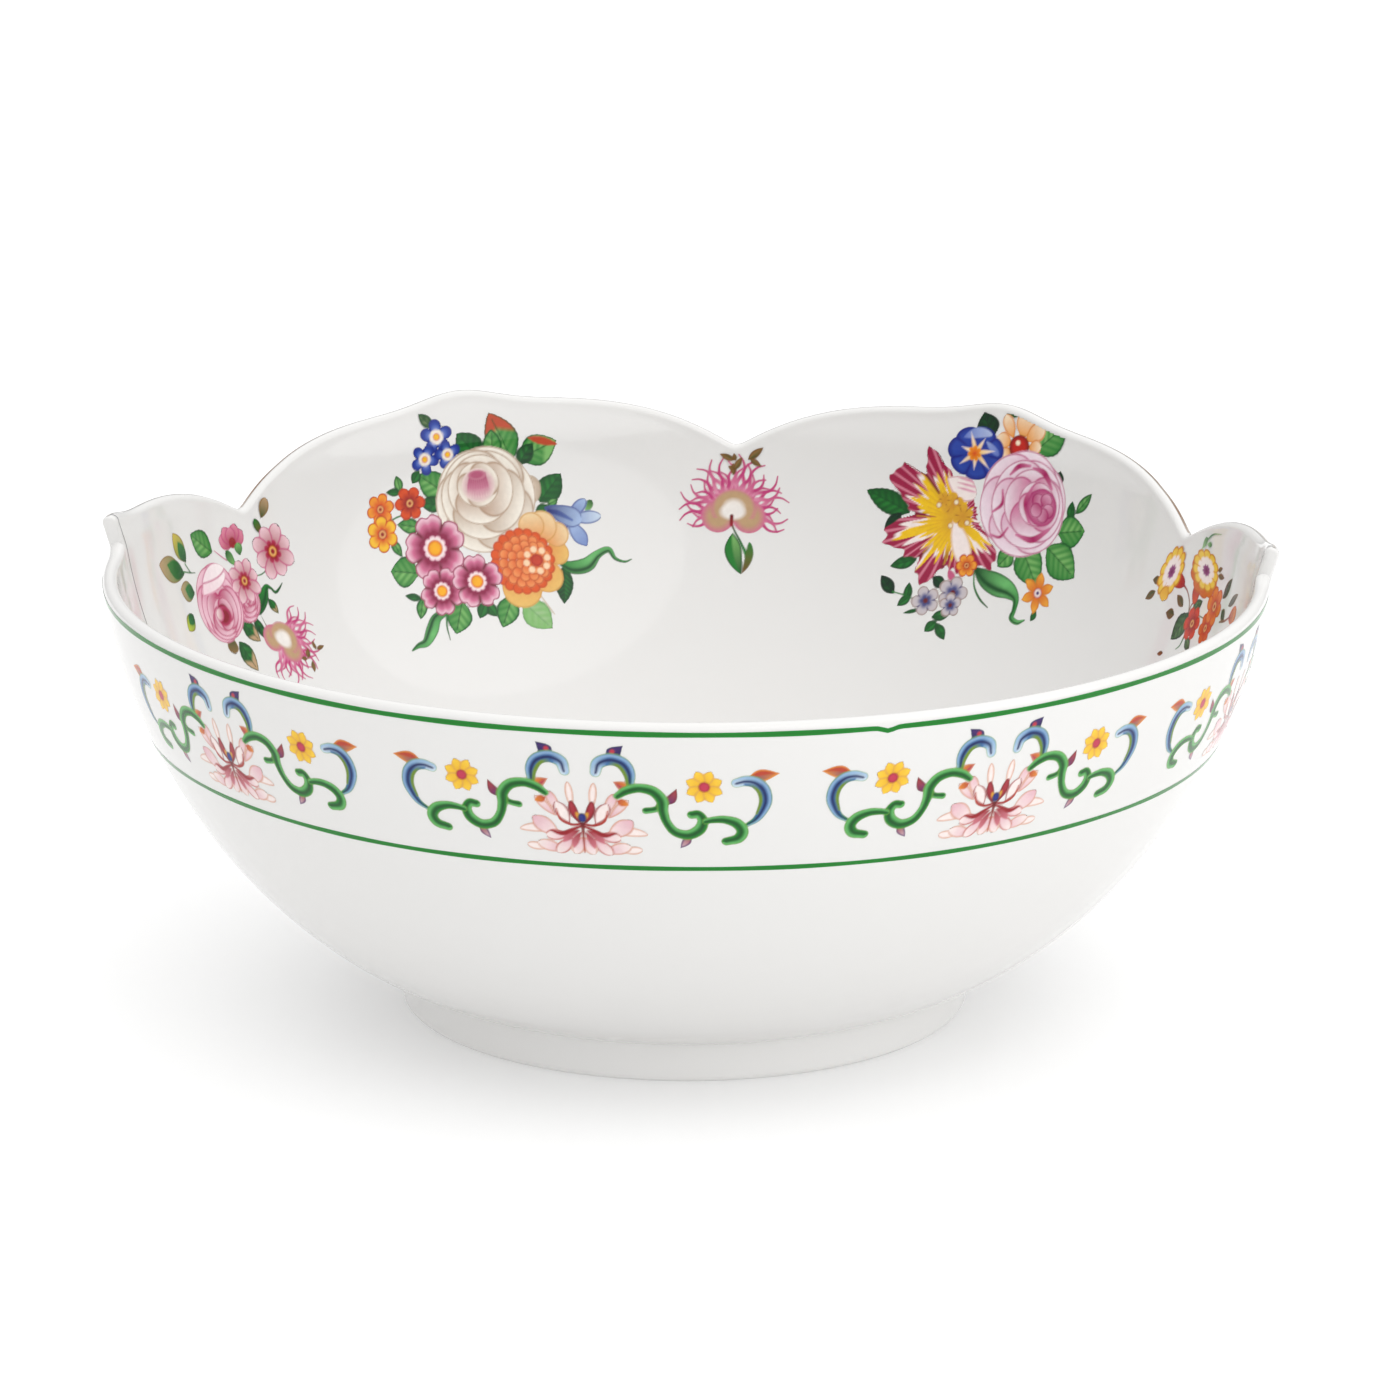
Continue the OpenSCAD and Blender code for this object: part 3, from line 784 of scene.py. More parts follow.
def paint_rose_bouquet(a):
    """Cream rose, marigold, primulas, forget-me-nots and a bellflower on their leaves."""
    # leaves at the back
    leaves(a, (8.5, 19, 112, 14.6, 9.4, dict(tip=RUST)), (3, 20, 88, 8, 5.5),
           (-0.5, 20, 128, 10, 8, SHADED), (10.5, 19.5, 22, 11.5, 8.6,
                                            dict(tip=GREEN_LIGHT, rim=GREEN_DARK)),
           (13.4, 25, -16, 8.4, 2, dict(light=RUST, dark=RUST, rim=RUST, ribs=0)),
           (10, 18, 50, 7, 4.6, dict(light=GREEN, dark=GREEN_DEEP)), (15, 7.5, 48, 10, 7, SHADED),
           (-11, 12, 143, 10, 7.6), (-12, 9, 168, 7.4, 4.4, SHADED), (-18.5, 19, -128, 4, 3, SHADED),
           (-24.6, 14.2, 103, 4.6, 2.8), (-24.6, 14, 172, 4.6, 2.2, SHADED), (-19.5, 4, 166, 7.4, 4.2),
           (-29, 2, -62, 5.6, 2.8), (-22, -8, 168, 8.8, 8.4, dict(fat=0.5)), (-22, -14.6, -108, 6, 3.4),
           (-22.4, -14.8, 163, 5.2, 2.2, SHADED), (-10.6, -17, -112, 9.4, 7.6),
           (-4, -18, -60, 5, 3.4, SHADED), (-4, -18, -120, 5, 3.4, SHADED), (4, -17, -118, 9.6, 6.4),
           (6.6, -19, -50, 10.4, 8, dict(light=GREEN_PALE, dark=GREEN_LIGHT, rim=tone(112, 156, 104))),
           (19.6, -10, -100, 10.6, 5, dict(light=GREEN, dark=GREEN_DEEP, ribs=1.2)),
           (17.6, 6.4, -150, 4.8, 3.6, SHADED), (17.2, 6.8, 20, 3.2, 2.4),
           (-13.4, 30, 133, 5.6, 3.2, dict(light=tone(112, 132, 92), dark=GREEN_DARK)))
    # ribbon leaves and stems
    ribbon = dict(rim=GREEN_DARK, core=(-0.4, GREEN_DARK, 0.35))
    a.stroke([(19, -9.4, 0.8), (22, -10.6, 1.9), (25.8, -10, 2), (29, -7.4, 1.2), (32.2, -6.2, 0.9),
              (33.6, -8.6, 0.6), (36, -9.6, 0.4), (38, -9, 0.2)], (0, GREEN), (0.4, LEAF_LIGHT),
             (1, GREEN), **ribbon)
    a.stroke([(-15.6, -19.4, 0.7), (-19, -20.6, 1.5), (-21, -23.6, 1.9), (-23.4, -26.6, 1.3),
              (-26, -27.2, 0.8), (-28.2, -28.2, 0.3)], (0, GREEN), (0.5, LEAF_LIGHT), (1, GREEN),
             **ribbon)
    stem(a, (-15.6, -19, 0.25), (-16.4, -23, 0.3), (-16.2, -27, 0.2))
    stem(a, (-28.5, 7, 0.25), (-25.5, 7.8, 0.3), (-21, 7.4, 0.25))
    a.stroke([(11.4, -17, 0.2), (13, -20, 0.25), (14.6, -23, 0.2)], (0, STONE), (1, STONE))
    # the bellflower
    pale_blue, slate = tone(206, 222, 238), tone(82, 92, 150)
    deep_slate, ice = tone(46, 58, 116), tone(168, 190, 226)
    a.petal(27.4, 4.2, 60, 3.8, 2.2, GREEN_LIGHT, GREEN_DARK)
    a.petal(22.4, 2.6, 44, 7.4, 3.2, tone(96, 116, 176), ice, edge=slate)
    a.petal(22.6, 2.4, 4, 9, 3.6, tone(120, 140, 194), pale_blue, edge=slate)
    a.petal(22, 1.4, -128, 5, 2.6, slate, deep_slate, edge=COBALT_DARK)
    a.petal(22.4, 2.2, -60, 8.4, 4.2, ice, tone(120, 140, 194), edge=slate, point=0.8)
    a.petal(16.2, 6, -23, 10.6, 5.6, deep_slate, ice, edge=slate, fat=0.72)
    a.stroke([(17.4, 5, 0.5), (20, 4.2, 0.7), (23.4, 2.2, 0.3)], (0, deep_slate),
             (1, tone(96, 116, 176)), keep=False)
    # small flowers
    orange_flower(a, -31.4, 10.4, 4.4, 10, VERMILION, tone(238, 150, 60))
    orange_flower(a, -31.6, 3.8, 5, 30)
    orange_flower(a, -22.2, 10.8, 4.6, 0, DEEP_RED, VERMILION)
    forget_me_not(a, -12.6, 27.4, 4.9, 20)
    forget_me_not(a, -16.6, 21.8, 4.3, 60)
    forget_me_not(a, -9.8, 22.4, 4, 100)
    # the cream rose
    a.dot(12.6, 11, 4, STONE, squash=0.8, angle=80, rim=tone(186, 166, 146))
    rose(a, 0.4, 8, 13.4, tone(184, 152, 130), tone(180, 154, 132), tone(250, 244, 232),
         tone(172, 142, 118), tone(184, 108, 126), lean=(-0.16, 0.42), turn=12)
    a.dot(-1.6, 13.4, 4.8, tone(206, 146, 162), squash=0.95, rim=tone(232, 214, 206))
    streaks = (0, tone(232, 200, 200)), (0.4, tone(196, 118, 144)), (1, tone(164, 70, 102))
    for k in range(9):
        foot_end = (-4.8 + 0.75 * k, 10.6 - 0.5 * math.sin(k * 0.4), 0.16)
        a.stroke([foot_end, (-4.4 + 0.66 * k, 13.6, 0.34), (-3.6 + 0.5 * k, 16.4, 0.3)], *streaks,
                 keep=False)
    a.dot(-1.8, 16.2, 2.6, tone(180, 92, 120), squash=0.5, rim=tone(200, 130, 150), keep=False)
    # the marigold
    gold, straw = tone(232, 190, 110), tone(240, 214, 168)
    for x, y, r, way in [(7, -15, 5.6, -100), (14.4, -12.6, 4.4, -40), (18.2, -6.4, 3.2, -20),
                         (18.6, -1.4, 3.4, 20), (14.8, 1, 4.2, 60), (12, 1.4, 3.6, 90)]:
        a.cup(x, y, r, way, tone(226, 150, 84), gold if way < 0 else straw, tone(206, 150, 84))
    marigold(a, 8.2, -8, 8.8)
    # the primulas
    primula(a, -16.2, -2, 9.4, 100)
    primula(a, -16, -13.6, 6.8, 54)
    primula(a, -5.4, -12.2, 7.6, 90)


def morning_glory(a, x, y):
    """Blue trumpet seen from above, with a pale upper lip and a white star."""
    deep = tone(48, 66, 148)
    a.bloom(x, y, 8.6, 7, (0, deep), (0.8, tone(60, 80, 164)), (1, COBALT_DARK), turn=20, notch=0.1,
            squash=0.84, crease=tone(40, 54, 132), edge=COBALT_DARK)
    a.petal(x - 4.4, y + 3.6, 12, 8.6, 2.8, tone(104, 124, 196), tone(176, 190, 226), bend=0.9, fat=0.5,
            keep=False)
    a.petal(x + 2.6, y + 3.4, -36, 5.6, 1.8, tone(150, 166, 216), tone(96, 114, 188), keep=False)
    for k in range(7):
        a.petal(x, y, 12 + k * 360 / 7, 4.6 if k % 2 else 5.8, 1.15, YELLOW, PETAL_WHITE, fat=0.3,
                point=1.2, keep=False)
    a.bloom(x - 0.4, y - 0.2, 2.1, 7, (0, VERMILION), (1, tone(240, 150, 50)), notch=0.4, keep=False)


def parrot_tulip(a, x, y):
    """Open parrot tulip: flames of yellow run out into crimson, which is ragged and streaked with white."""
    crimson, gold, ochre = tone(156, 44, 78), tone(240, 194, 42), tone(206, 148, 62)
    # how far the tulip reaches in each direction
    reach = [(-22, 13), (-10, 8), (10, 6), (60, 7), (100, 11), (112, 15), (121, 22.5), (128, 18),
             (135, 15.5), (143, 21.5), (150, 22.5), (156, 24), (164, 19), (172, 15.5), (180, 12.5),
             (187, 17), (194, 20.5), (203, 22), (212, 18.5), (222, 17), (232, 15), (241, 18),
             (250, 20.5), (257, 16.5), (268, 12.5), (281, 14.5), (295, 13), (308, 14.5), (320, 17.5),
             (330, 16.5), (338, 13)]
    part, p, q = a.turned(x, y, 0, 27)
    way = np.degrees(np.arctan2(q, p))
    way = np.where(way < -22, way + 360, way)
    rho = np.hypot(p, q)
    ragged = 0.5 * sine(way * 23) + 0.4 * sine(way * 41 + 30)
    edge = np.interp(way, [s[0] for s in reach], [s[1] for s in reach]) + ragged * np.clip(rho / 14, 0, 1)
    flame = 0.66 + 0.13 * sine(way * 11 + 20) + 0.09 * sine(way * 29) + 0.06 * sine(way * 53)
    out = rho / edge
    colour = mixed(ochre, gold, rho / 7)
    streak = np.clip(sine(way * 17 + 60) * 2, 0, 1) * np.clip(sine(way * 3.1 + 150) * 3, 0, 1)
    colour = mixed(colour, PETAL_WHITE, streak * np.clip((out - flame + 0.12) / 0.05, 0, 1))
    veins = np.clip(sine(way * 47 + 120 * sine(way * 5)) * 1.6 - 0.5, 0, 1)
    flesh = mixed(crimson, tone(214, 130, 150), veins * np.clip(1.7 - out * 0.9, 0, 1))
    pale = np.clip((out - flame + 0.07) / 0.04, 0, 1) * np.clip(sine(way * 31) * 3 + 0.6, 0, 1)
    colour = mixed(colour, PETAL_WHITE, pale)
    turn_red = np.clip((out - flame - 0.13 * streak) / 0.06, 0, 1)
    colour = mixed(colour, flesh, turn_red)
    for cleft, depth in [(136, 6), (180, 8), (232, 9), (264, 7), (300, 8)]:
        off = np.abs(way - cleft) * np.pi / 180 * rho
        fold = np.exp(-((off / 0.5) ** 2)) * np.clip((rho - depth) / 3, 0, 1)
        colour = mixed(colour, tone(122, 30, 58), fold)
    a.lay(part, (rho - edge) * 0.8, colour)
    for k in range(26):
        way = 102 + 8.1 * k
        start, end = 5 + 1.5 * math.sin(k * 2.1), 11 + 2 * math.sin(k * 1.3)
        c, s = cosine(way), sine(way)
        a.stroke([(x + start * c, y + start * s, 0.12), (x + end * c, y + end * s, 0.1)],
                 (0, tone(226, 170, 50)), (1, tone(214, 160, 60)), keep=False)


def mauve_blossom(a, x, y, r, turn):
    """Small white blossom in blue-grey shade, with a fine brown outline."""
    a.bloom(x, y, r, 5, (0, tone(44, 44, 84)), (0.34, tone(92, 94, 138)), (0.62, tone(196, 188, 194)),
            (1, tone(206, 194, 194)), turn=turn, notch=0.36, crease=tone(70, 74, 120),
            edge=tone(150, 128, 120))
    a.dot(x, y, r * 0.16, tone(110, 50, 60))


def paint_tulip_bouquet(a):
    """Parrot tulip, pink rose, morning glory and small blossoms on their leaves."""
    deep = dict(light=GREEN_DARK, dark=GREEN_DEEP, rim=GREEN_DEEP)
    # leaves at the back
    leaves(a, (-1, 25.5, 118, 7.6, 7, deep), (5.4, 32.4, 150, 5, 2.4, SHADED),
           (4, 32, 40, 3.4, 1.8, SHADED), (13, 24, 44, 13, 9.6, dict(rim=GREEN_DARK)),
           (22.6, 16.8, 88, 3.8, 3, deep), (29.8, 10.4, 52, 8, 3, dict(light=GREEN_LIGHT, dark=GREEN)),
           (28, 8, 88, 5.6, 3, SHADED), (24.6, 4.4, 14, 9.8, 8.6), (21.8, 0.2, -28, 13.2, 10),
           (13.4, -1, -52, 12.6, 9.6, dict(fat=0.4)), (11, -2.6, -128, 6.4, 5.6),
           (-22, 3, 160, 14.2, 6.4, SHADED), (-24.4, 2.6, -128, 6.6, 3.6, deep),
           (-17.4, -9, -158, 7.8, 3.6, SHADED), (-21.6, -19.2, 136, 6.8, 3.6, deep),
           (-17.4, -20.6, 96, 5.2, 2.6, SHADED), (-16.6, -19, -134, 4.6, 2.6, SHADED),
           (-13, -22.4, -160, 4.8, 1.2, SHADED), (-11.6, -13.2, -28, 5, 3.4, deep),
           (-9, -24, 18, 5.6, 3, SHADED), (-7.2, -24.8, -128, 4.4, 3, SHADED),
           (-7, -25.4, -48, 5.6, 3, SHADED), (23, -16.8, -110, 3.4, 2, SHADED))
    # stems and the big curling leaf
    ribbon = dict(rim=GREEN_DARK, core=(-0.35, GREEN_DARK, 0.3))
    stem(a, (0.2, -10, 0.2), (1.4, -14, 0.35), (4, -17, 0.4), (7, -18.8, 0.25))
    a.stroke([(1, -9.6, 0.9), (4.6, -11.4, 2.6), (8.4, -12.4, 3.2), (12.4, -13.2, 2.4),
              (15.2, -15, 1.2), (15.6, -18, 0.8), (15.4, -20.2, 0.9), (17.6, -21, 0.8),
              (19.8, -20, 0.3)], (0, GREEN_DARK), (0.4, LEAF_LIGHT), (0.7, GREEN), (1, LEAF_LIGHT),
             **ribbon)
    stem(a, (-22, -18.6, 0.25), (-18, -19.2, 0.25), (-13, -20.6, 0.2))
    # blossoms above
    peach, amber = tone(246, 226, 196), tone(232, 150, 60)
    fan = [(8.4, 27, 84, 7, 6), (9.8, 26.6, 40, 7, 5), (5.8, 26.6, 122, 7, 3.6), (11, 25, 8, 4, 4),
           (5.4, 25, 168, 5, 4.6), (5.6, 23.6, -146, 3.4, 3)]
    for x, y, way, length, width in fan:
        a.petal(x, y, way, length, width, amber, peach, edge=tone(214, 124, 52))
    a.dot(8, 24.6, 3.2, tone(190, 50, 30), rim=tone(120, 24, 22))
    a.dot(7.4, 25.6, 0.7, peach)
    # the tulip
    parrot_tulip(a, -8, 3)
    a.petal(-12.6, 13.4, -22, 10, 6.2, PETAL_WHITE, PETAL_WHITE, edge=tone(206, 150, 160))
    for k in range(3):
        a.petal(-9.4, 14 - 1.3 * k, -6, 6, 0.6, tone(206, 120, 150), PINK, keep=False)
    a.petal(-9, 3, -62, 14, 5.4, PETAL_WHITE, PETAL_WHITE, edge=tone(228, 190, 150))
    a.petal(-7.6, -10.6, -50, 3.6, 2.2, tone(196, 96, 130), tone(196, 96, 130))
    for x, y, r in [(-10, 6.6, 3.4), (-6.4, 4, 3.2), (-12.6, 7.6, 2.2)]:
        a.bloom(x, y, r, 6, (0, tone(206, 146, 60)), (1, tone(222, 170, 62)), notch=0.3, keep=False,
                crease=tone(170, 110, 50))
    for x, y in [(-14, 6), (-9, 7.4), (-9.6, 1), (-4.8, 2.4)]:
        a.dot(x, y, 0.8, tone(240, 226, 190), rim=tone(182, 112, 60), keep=False)
    morning_glory(a, -5, 21.2)
    # the pink rose
    rose(a, 10.6, 9.8, 13.2, tone(204, 112, 152), tone(222, 168, 194), tone(244, 230, 238),
         tone(182, 78, 122), tone(166, 60, 108), lean=(0.42, 0.06), turn=24)
    fold = (0, tone(206, 120, 156)), (0.5, tone(168, 50, 100)), (1, tone(206, 120, 156))
    for path in [[(6.4, 17, 0.3), (9, 19.6, 0.7), (12.4, 20.2, 0.4)],
                 [(13.6, 19.8, 0.3), (17.4, 19, 0.9), (20.4, 15.4, 0.4)],
                 [(4.6, 12.6, 0.3), (5, 9, 0.5), (2.4, 6.4, 0.3)],
                 [(11, 1.6, 0.3), (16.6, 1.2, 0.9), (21.4, 4.8, 0.4)],
                 [(13.8, 14.6, 0.3), (12.6, 10.4, 0.9), (14.4, 5.6, 0.4)],
                 [(8, 3, 0.3), (6, 0.2, 0.4), (3, 0.4, 0.3)]]:
        a.stroke(path, *fold, keep=False)
    a.dot(18, 10, 5, tone(206, 120, 156), rim=tone(176, 72, 118), keep=False)
    for k, (dx, dy) in enumerate([(-1.6, 1.6), (1.2, 2), (2.2, -0.6), (0.6, -2), (-1.8, -1)]):
        a.cup(18 + dx, 10 + dy, 2, 60 * k, tone(176, 66, 112), tone(226, 168, 194), tone(160, 56, 102),
              keep=False)
    # small flowers
    orange_flower(a, -2.4, -8.8, 3.3, 10, tone(206, 90, 40), tone(238, 160, 66))
    for k in range(6):
        a.petal(22, -12.2, 30 + 60 * k, 5.6, 2.8, VERMILION, tone(240, 176, 70),
                edge=tone(206, 120, 50), point=0.9)
    a.dot(22, -12.2, 1.4, PETAL_WHITE, rim=tone(176, 60, 40))
    a.dot(22, -12.2, 0.5, PURPLE)
    mauve_blossom(a, -4.6, -16.6, 4.6, 80)
    mauve_blossom(a, -12, -19.8, 4.2, 120)
    mauve_blossom(a, -4.4, -20, 3.4, 30)


MAGENTA = tone(190, 74, 122)
BEIGE = tone(190, 158, 122)
UMBER = tone(140, 110, 72)


def thistle(a, x, y, size, start, end, step=11, turn=0):
    """Thistle head: wavy pink filaments from start to end degrees round a beige heart, white inside."""
    for k, way in enumerate(np.arange(start, end, step)):
        reach = size * (0.96 + 0.16 * math.sin(2.4 * k))
        points = []
        for t, width in [(0.3, 0.035), (0.52, 0.042), (0.72, 0.034), (0.88, 0.026), (1, 0.018)]:
            bow = math.radians(way + turn + (9 if k % 2 else -9) * math.sin(t * 6.3))
            points.append((x + reach * t * math.cos(bow), y + reach * t * math.sin(bow), width * size))
        a.stroke(points, (0, PINK), (0.45, MAGENTA if k % 3 else ROSE), (1, MAGENTA), rim=ROSE)
    for side in (-1, 1):
        way = math.radians(turn + 90 + side * 112)
        px, py = x + 0.33 * size * math.cos(way), y + 0.3 * size * math.sin(way)
        a.dot(px, py, 0.33 * size, BEIGE, rim=ROSE)
    part, p, q = a.turned(x, y, turn, size)
    rho = np.hypot(p, q * 1.15 - 0.06 * size) / size
    colour = bands(rho, (0.14, tone(240, 232, 224)), (0.26, BEIGE), (0.36, BEIGE), (0.46, ROSE))
    a.lay(part, (rho - 0.44) * size + np.where(q < -0.16 * size, 2, 0), colour, soft=1.2)
    a.lay(part, np.hypot(p + 0.02 * size, (q + 0.02 * size) * 1.6) - 0.24 * size, tone(240, 234, 228),
          False, soft=1.6)


def twig_leaves(a, *spots, light=UMBER, dark=GREEN_DARK):
    """Small loose leaves, half brown and half green."""
    for x, y, angle, length, width in spots:
        a.petal(x, y, angle, length, width, dark, light, edge=BROWN, fat=0.45, point=0.9, split=light)


def paint_thistle_sprig(a):
    """A thistle on a twig."""
    a.stroke([(-1.6, -2, 0.45), (-1, -4.6, 0.3), (1.2, -8.4, 0.35), (2.9, -12.4, 0.5),
              (2.4, -15.6, 0.4)], (0, CRIMSON), (0.25, GREEN_DARK), (0.7, GREEN), (1, BROWN))
    a.petal(1.6, -17.2, 104, 11.6, 4.6, GREEN_DARK, GREEN_LIGHT, edge=GREEN_DARK, bend=0.8, split=GREEN,
            point=0.9)
    a.petal(1.8, -17, 78, 9, 2.2, BROWN, GREEN, bend=-0.8)
    thistle(a, -1, 0, 13.6, -24, 208, 5.8)
    a.stroke([(-1.5, -1.4, 0.5), (-1.5, -3.8, 0.45)], (0, tone(110, 28, 34)), (1, CRIMSON))
    twig_leaves(a, (-1.4, 9.6, 92, 3.2, 1.5), (-1.2, 11, 60, 4, 1.7), (-1.2, 13.6, 158, 4.4, 1.7),
                (-1, 13.4, 100, 2.2, 1.2), (-1.2, 11, 150, 2, 1.1), (2.4, 13.8, 40, 5.4, 2),
                (3, 14, -30, 3.6, 1.6))


def daisy(a, x, y, r, turn):
    """Eight separate petals, crimson at the foot and pale at the tip, round a yellow ring."""
    for k in range(8):
        a.petal(x, y, turn + 45 * k, r * (1.04 if k % 2 else 0.94), r * 0.6, CRIMSON,
                tone(242, 206, 214), edge=MAGENTA, fat=0.68, point=0.45, line=0.3)
    a.bloom(x, y, r * 0.42, 8, (0, tone(120, 20, 40)), (0.6, CRIMSON), (1, tone(182, 70, 100)),
            turn=turn, notch=0.3)
    a.dot(x, y, r * 0.19, tone(240, 196, 120), rim=tone(206, 120, 60))
    a.dot(x, y, r * 0.1, CRIMSON)


def paint_rose_spray(a):
    """Crimson roses and daisies, with buds above and a small thistle below."""
    # buds and leaves on the left
    buds = [(-19.6, 12, 116, 9.6, 5.6, tone(214, 190, 90)), (-22, 9.4, 157, 14.6, 7, BEIGE),
            (-19.4, 3.6, 158, 7.4, 5.6, BEIGE), (-23.4, -1, -150, 6.2, 4.6, tone(196, 206, 80))]
    for x, y, angle, length, width, light in buds:
        a.petal(x, y, angle, length, width, GREEN, light, edge=UMBER, fat=0.5, point=0.75)
        a.petal(x, y, angle - 5, length * 0.66, width * 0.72, GREEN_DARK, GREEN, fat=0.45, point=0.9)
    stem(a, (-22, 10, 0.3), (-19, 9, 0.25), (-16.4, 8.4, 0.2))
    stem(a, (-20.4, 11.6, 0.3), (-18.6, 9, 0.25))
    a.stroke([(-5, 11.6, 0.2), (-2.6, 9.6, 0.25), (-0.6, 8, 0.2)], (0, ROSE), (1, MAGENTA))
    leaf(a, -6, 11.4, 142, 11, 7.4, light=GREEN_LIGHT)
    # leaves below
    a.petal(-9.4, -10.4, -104, 5, 4.6, GREEN_DARK, UMBER, edge=UMBER, point=0.5)
    leaves(a, (-6.6, -12.6, -72, 9.6, 6, dict(tip=BEIGE, **SHADED)),
           (-2.4, -8, -55, 8.4, 5, dict(tip=BEIGE, **SHADED)),
           (3, -8, -72, 7.8, 3.2, dict(light=GREEN, dark=GREEN_DEEP)))
    # the ribbon leaf and the small thistle
    a.stroke([(4, -7.6, 0.6), (6.6, -6.6, 1.7), (9.6, -4.4, 1.9), (12, -2, 0.9), (13.6, -2.6, 0.5),
              (14.8, -4, 0.5), (16.6, -3.4, 0.4), (18.4, -2.2, 0.2)], (0, GREEN_DARK), (0.5, GREEN),
             (1, GREEN_DARK), rim=GREEN_DEEP, core=(-0.3, GREEN_DARK, 0.3))
    leaf(a, 11.4, -5, -68, 5, 2.8, tip=BEIGE, **SHADED)
    a.stroke([(6.4, -9, 0.15), (7.2, -13, 0.25), (8.6, -16, 0.3)], (0, GREEN_DARK), (1, CRIMSON))
    thistle(a, 11.2, -16.4, 11.4, -94, 94, 6, turn=-44)
    twig_leaves(a, (21, -21.4, 88, 2.4, 1.2), (21.4, -21.4, 8, 3, 1.2), (17, -23, 60, 2.8, 1.5),
                (18, -24, -110, 3.4, 1.4), (16.6, -23, 170, 2, 1.2))
    # the buds above
    for way in (148, 30, 118, 62, 90):
        a.petal(3.4, 11, way, 6.2 if way != 90 else 5, 4.4, CRIMSON, tone(226, 140, 166), edge=MAGENTA,
                point=0.6)
    a.dot(3.6, 11.8, 1.5, CRIMSON)
    a.petal(2.6, 6, 122, 5.2, 2.8, GREEN_LIGHT, GREEN_DARK, edge=GREEN)
    a.petal(5.6, 8, 92, 3.4, 3.2, GREEN_DARK, GREEN_LIGHT, edge=GREEN)
    a.petal(17, 15.6, 56, 6, 3.6, GREEN_DARK, BEIGE, edge=UMBER)
    a.petal(16, 11.4, 112, 5, 2.6, BROWN, GREEN, edge=GREEN_DARK)
    stem(a, (9.6, 1.6, 0.2), (12, 1.6, 0.25), (14.6, 2.4, 0.2))
    # the flowers
    colours = tone(178, 60, 102), tone(212, 126, 158), tone(240, 202, 214), tone(178, 58,
                                                                                 100), tone(132, 26, 56)
    rose(a, 1.6, -3.6, 5.6, *colours, lean=(0.3, 0.1), turn=40)
    rose(a, -9.6, -0.4, 9.9, *colours, lean=(0.08, -0.42), turn=10)
    a.petal(-15.6, 2, 14, 13, 7, tone(244, 214, 222), tone(250, 236, 238), edge=ROSE, bend=1.4, point=0.5)
    a.petal(-14.6, 5, 8, 12, 4.4, tone(246, 224, 230), tone(250, 240, 240), edge=MAGENTA, bend=0.8,
            point=0.5, keep=False)
    a.dot(-8.8, -5.2, 3.2, tone(140, 30, 60), squash=0.8, rim=tone(186, 70, 106), keep=False)
    a.cup(-10.6, -4.2, 1.8, 160, tone(190, 80, 112), PETAL_WHITE, MAGENTA, keep=False)
    daisy(a, 4.4, 1.4, 6.2, 10)
    daisy(a, 18.4, 6.4, 7.6, 16)


def trumpet_flower(a, x, y, r, squash, angle):
    """Ruffled yellow trumpet, white down its throat and purple at its heart."""
    amber, gold = tone(214, 146, 50), tone(240, 200, 84)
    a.bloom(x, y, r, 11, (0, tone(110, 48, 92)), (0.22, tone(140, 70, 120)), (0.36, PETAL_WHITE),
            (0.58, PETAL_WHITE), (0.68, gold), (0.86, gold), (1, amber), turn=10, notch=0.14,
            crease=tone(222, 150, 66), squash=squash, angle=angle, edge=tone(196, 120, 50))
    a.bloom(x, y, r * 0.6, 9, (0, tone(120, 44, 92)), (0.4, tone(150, 82, 130)), (0.55, PETAL_WHITE),
            (1, PETAL_WHITE), squash=squash, angle=angle, notch=0.3, keep=False)


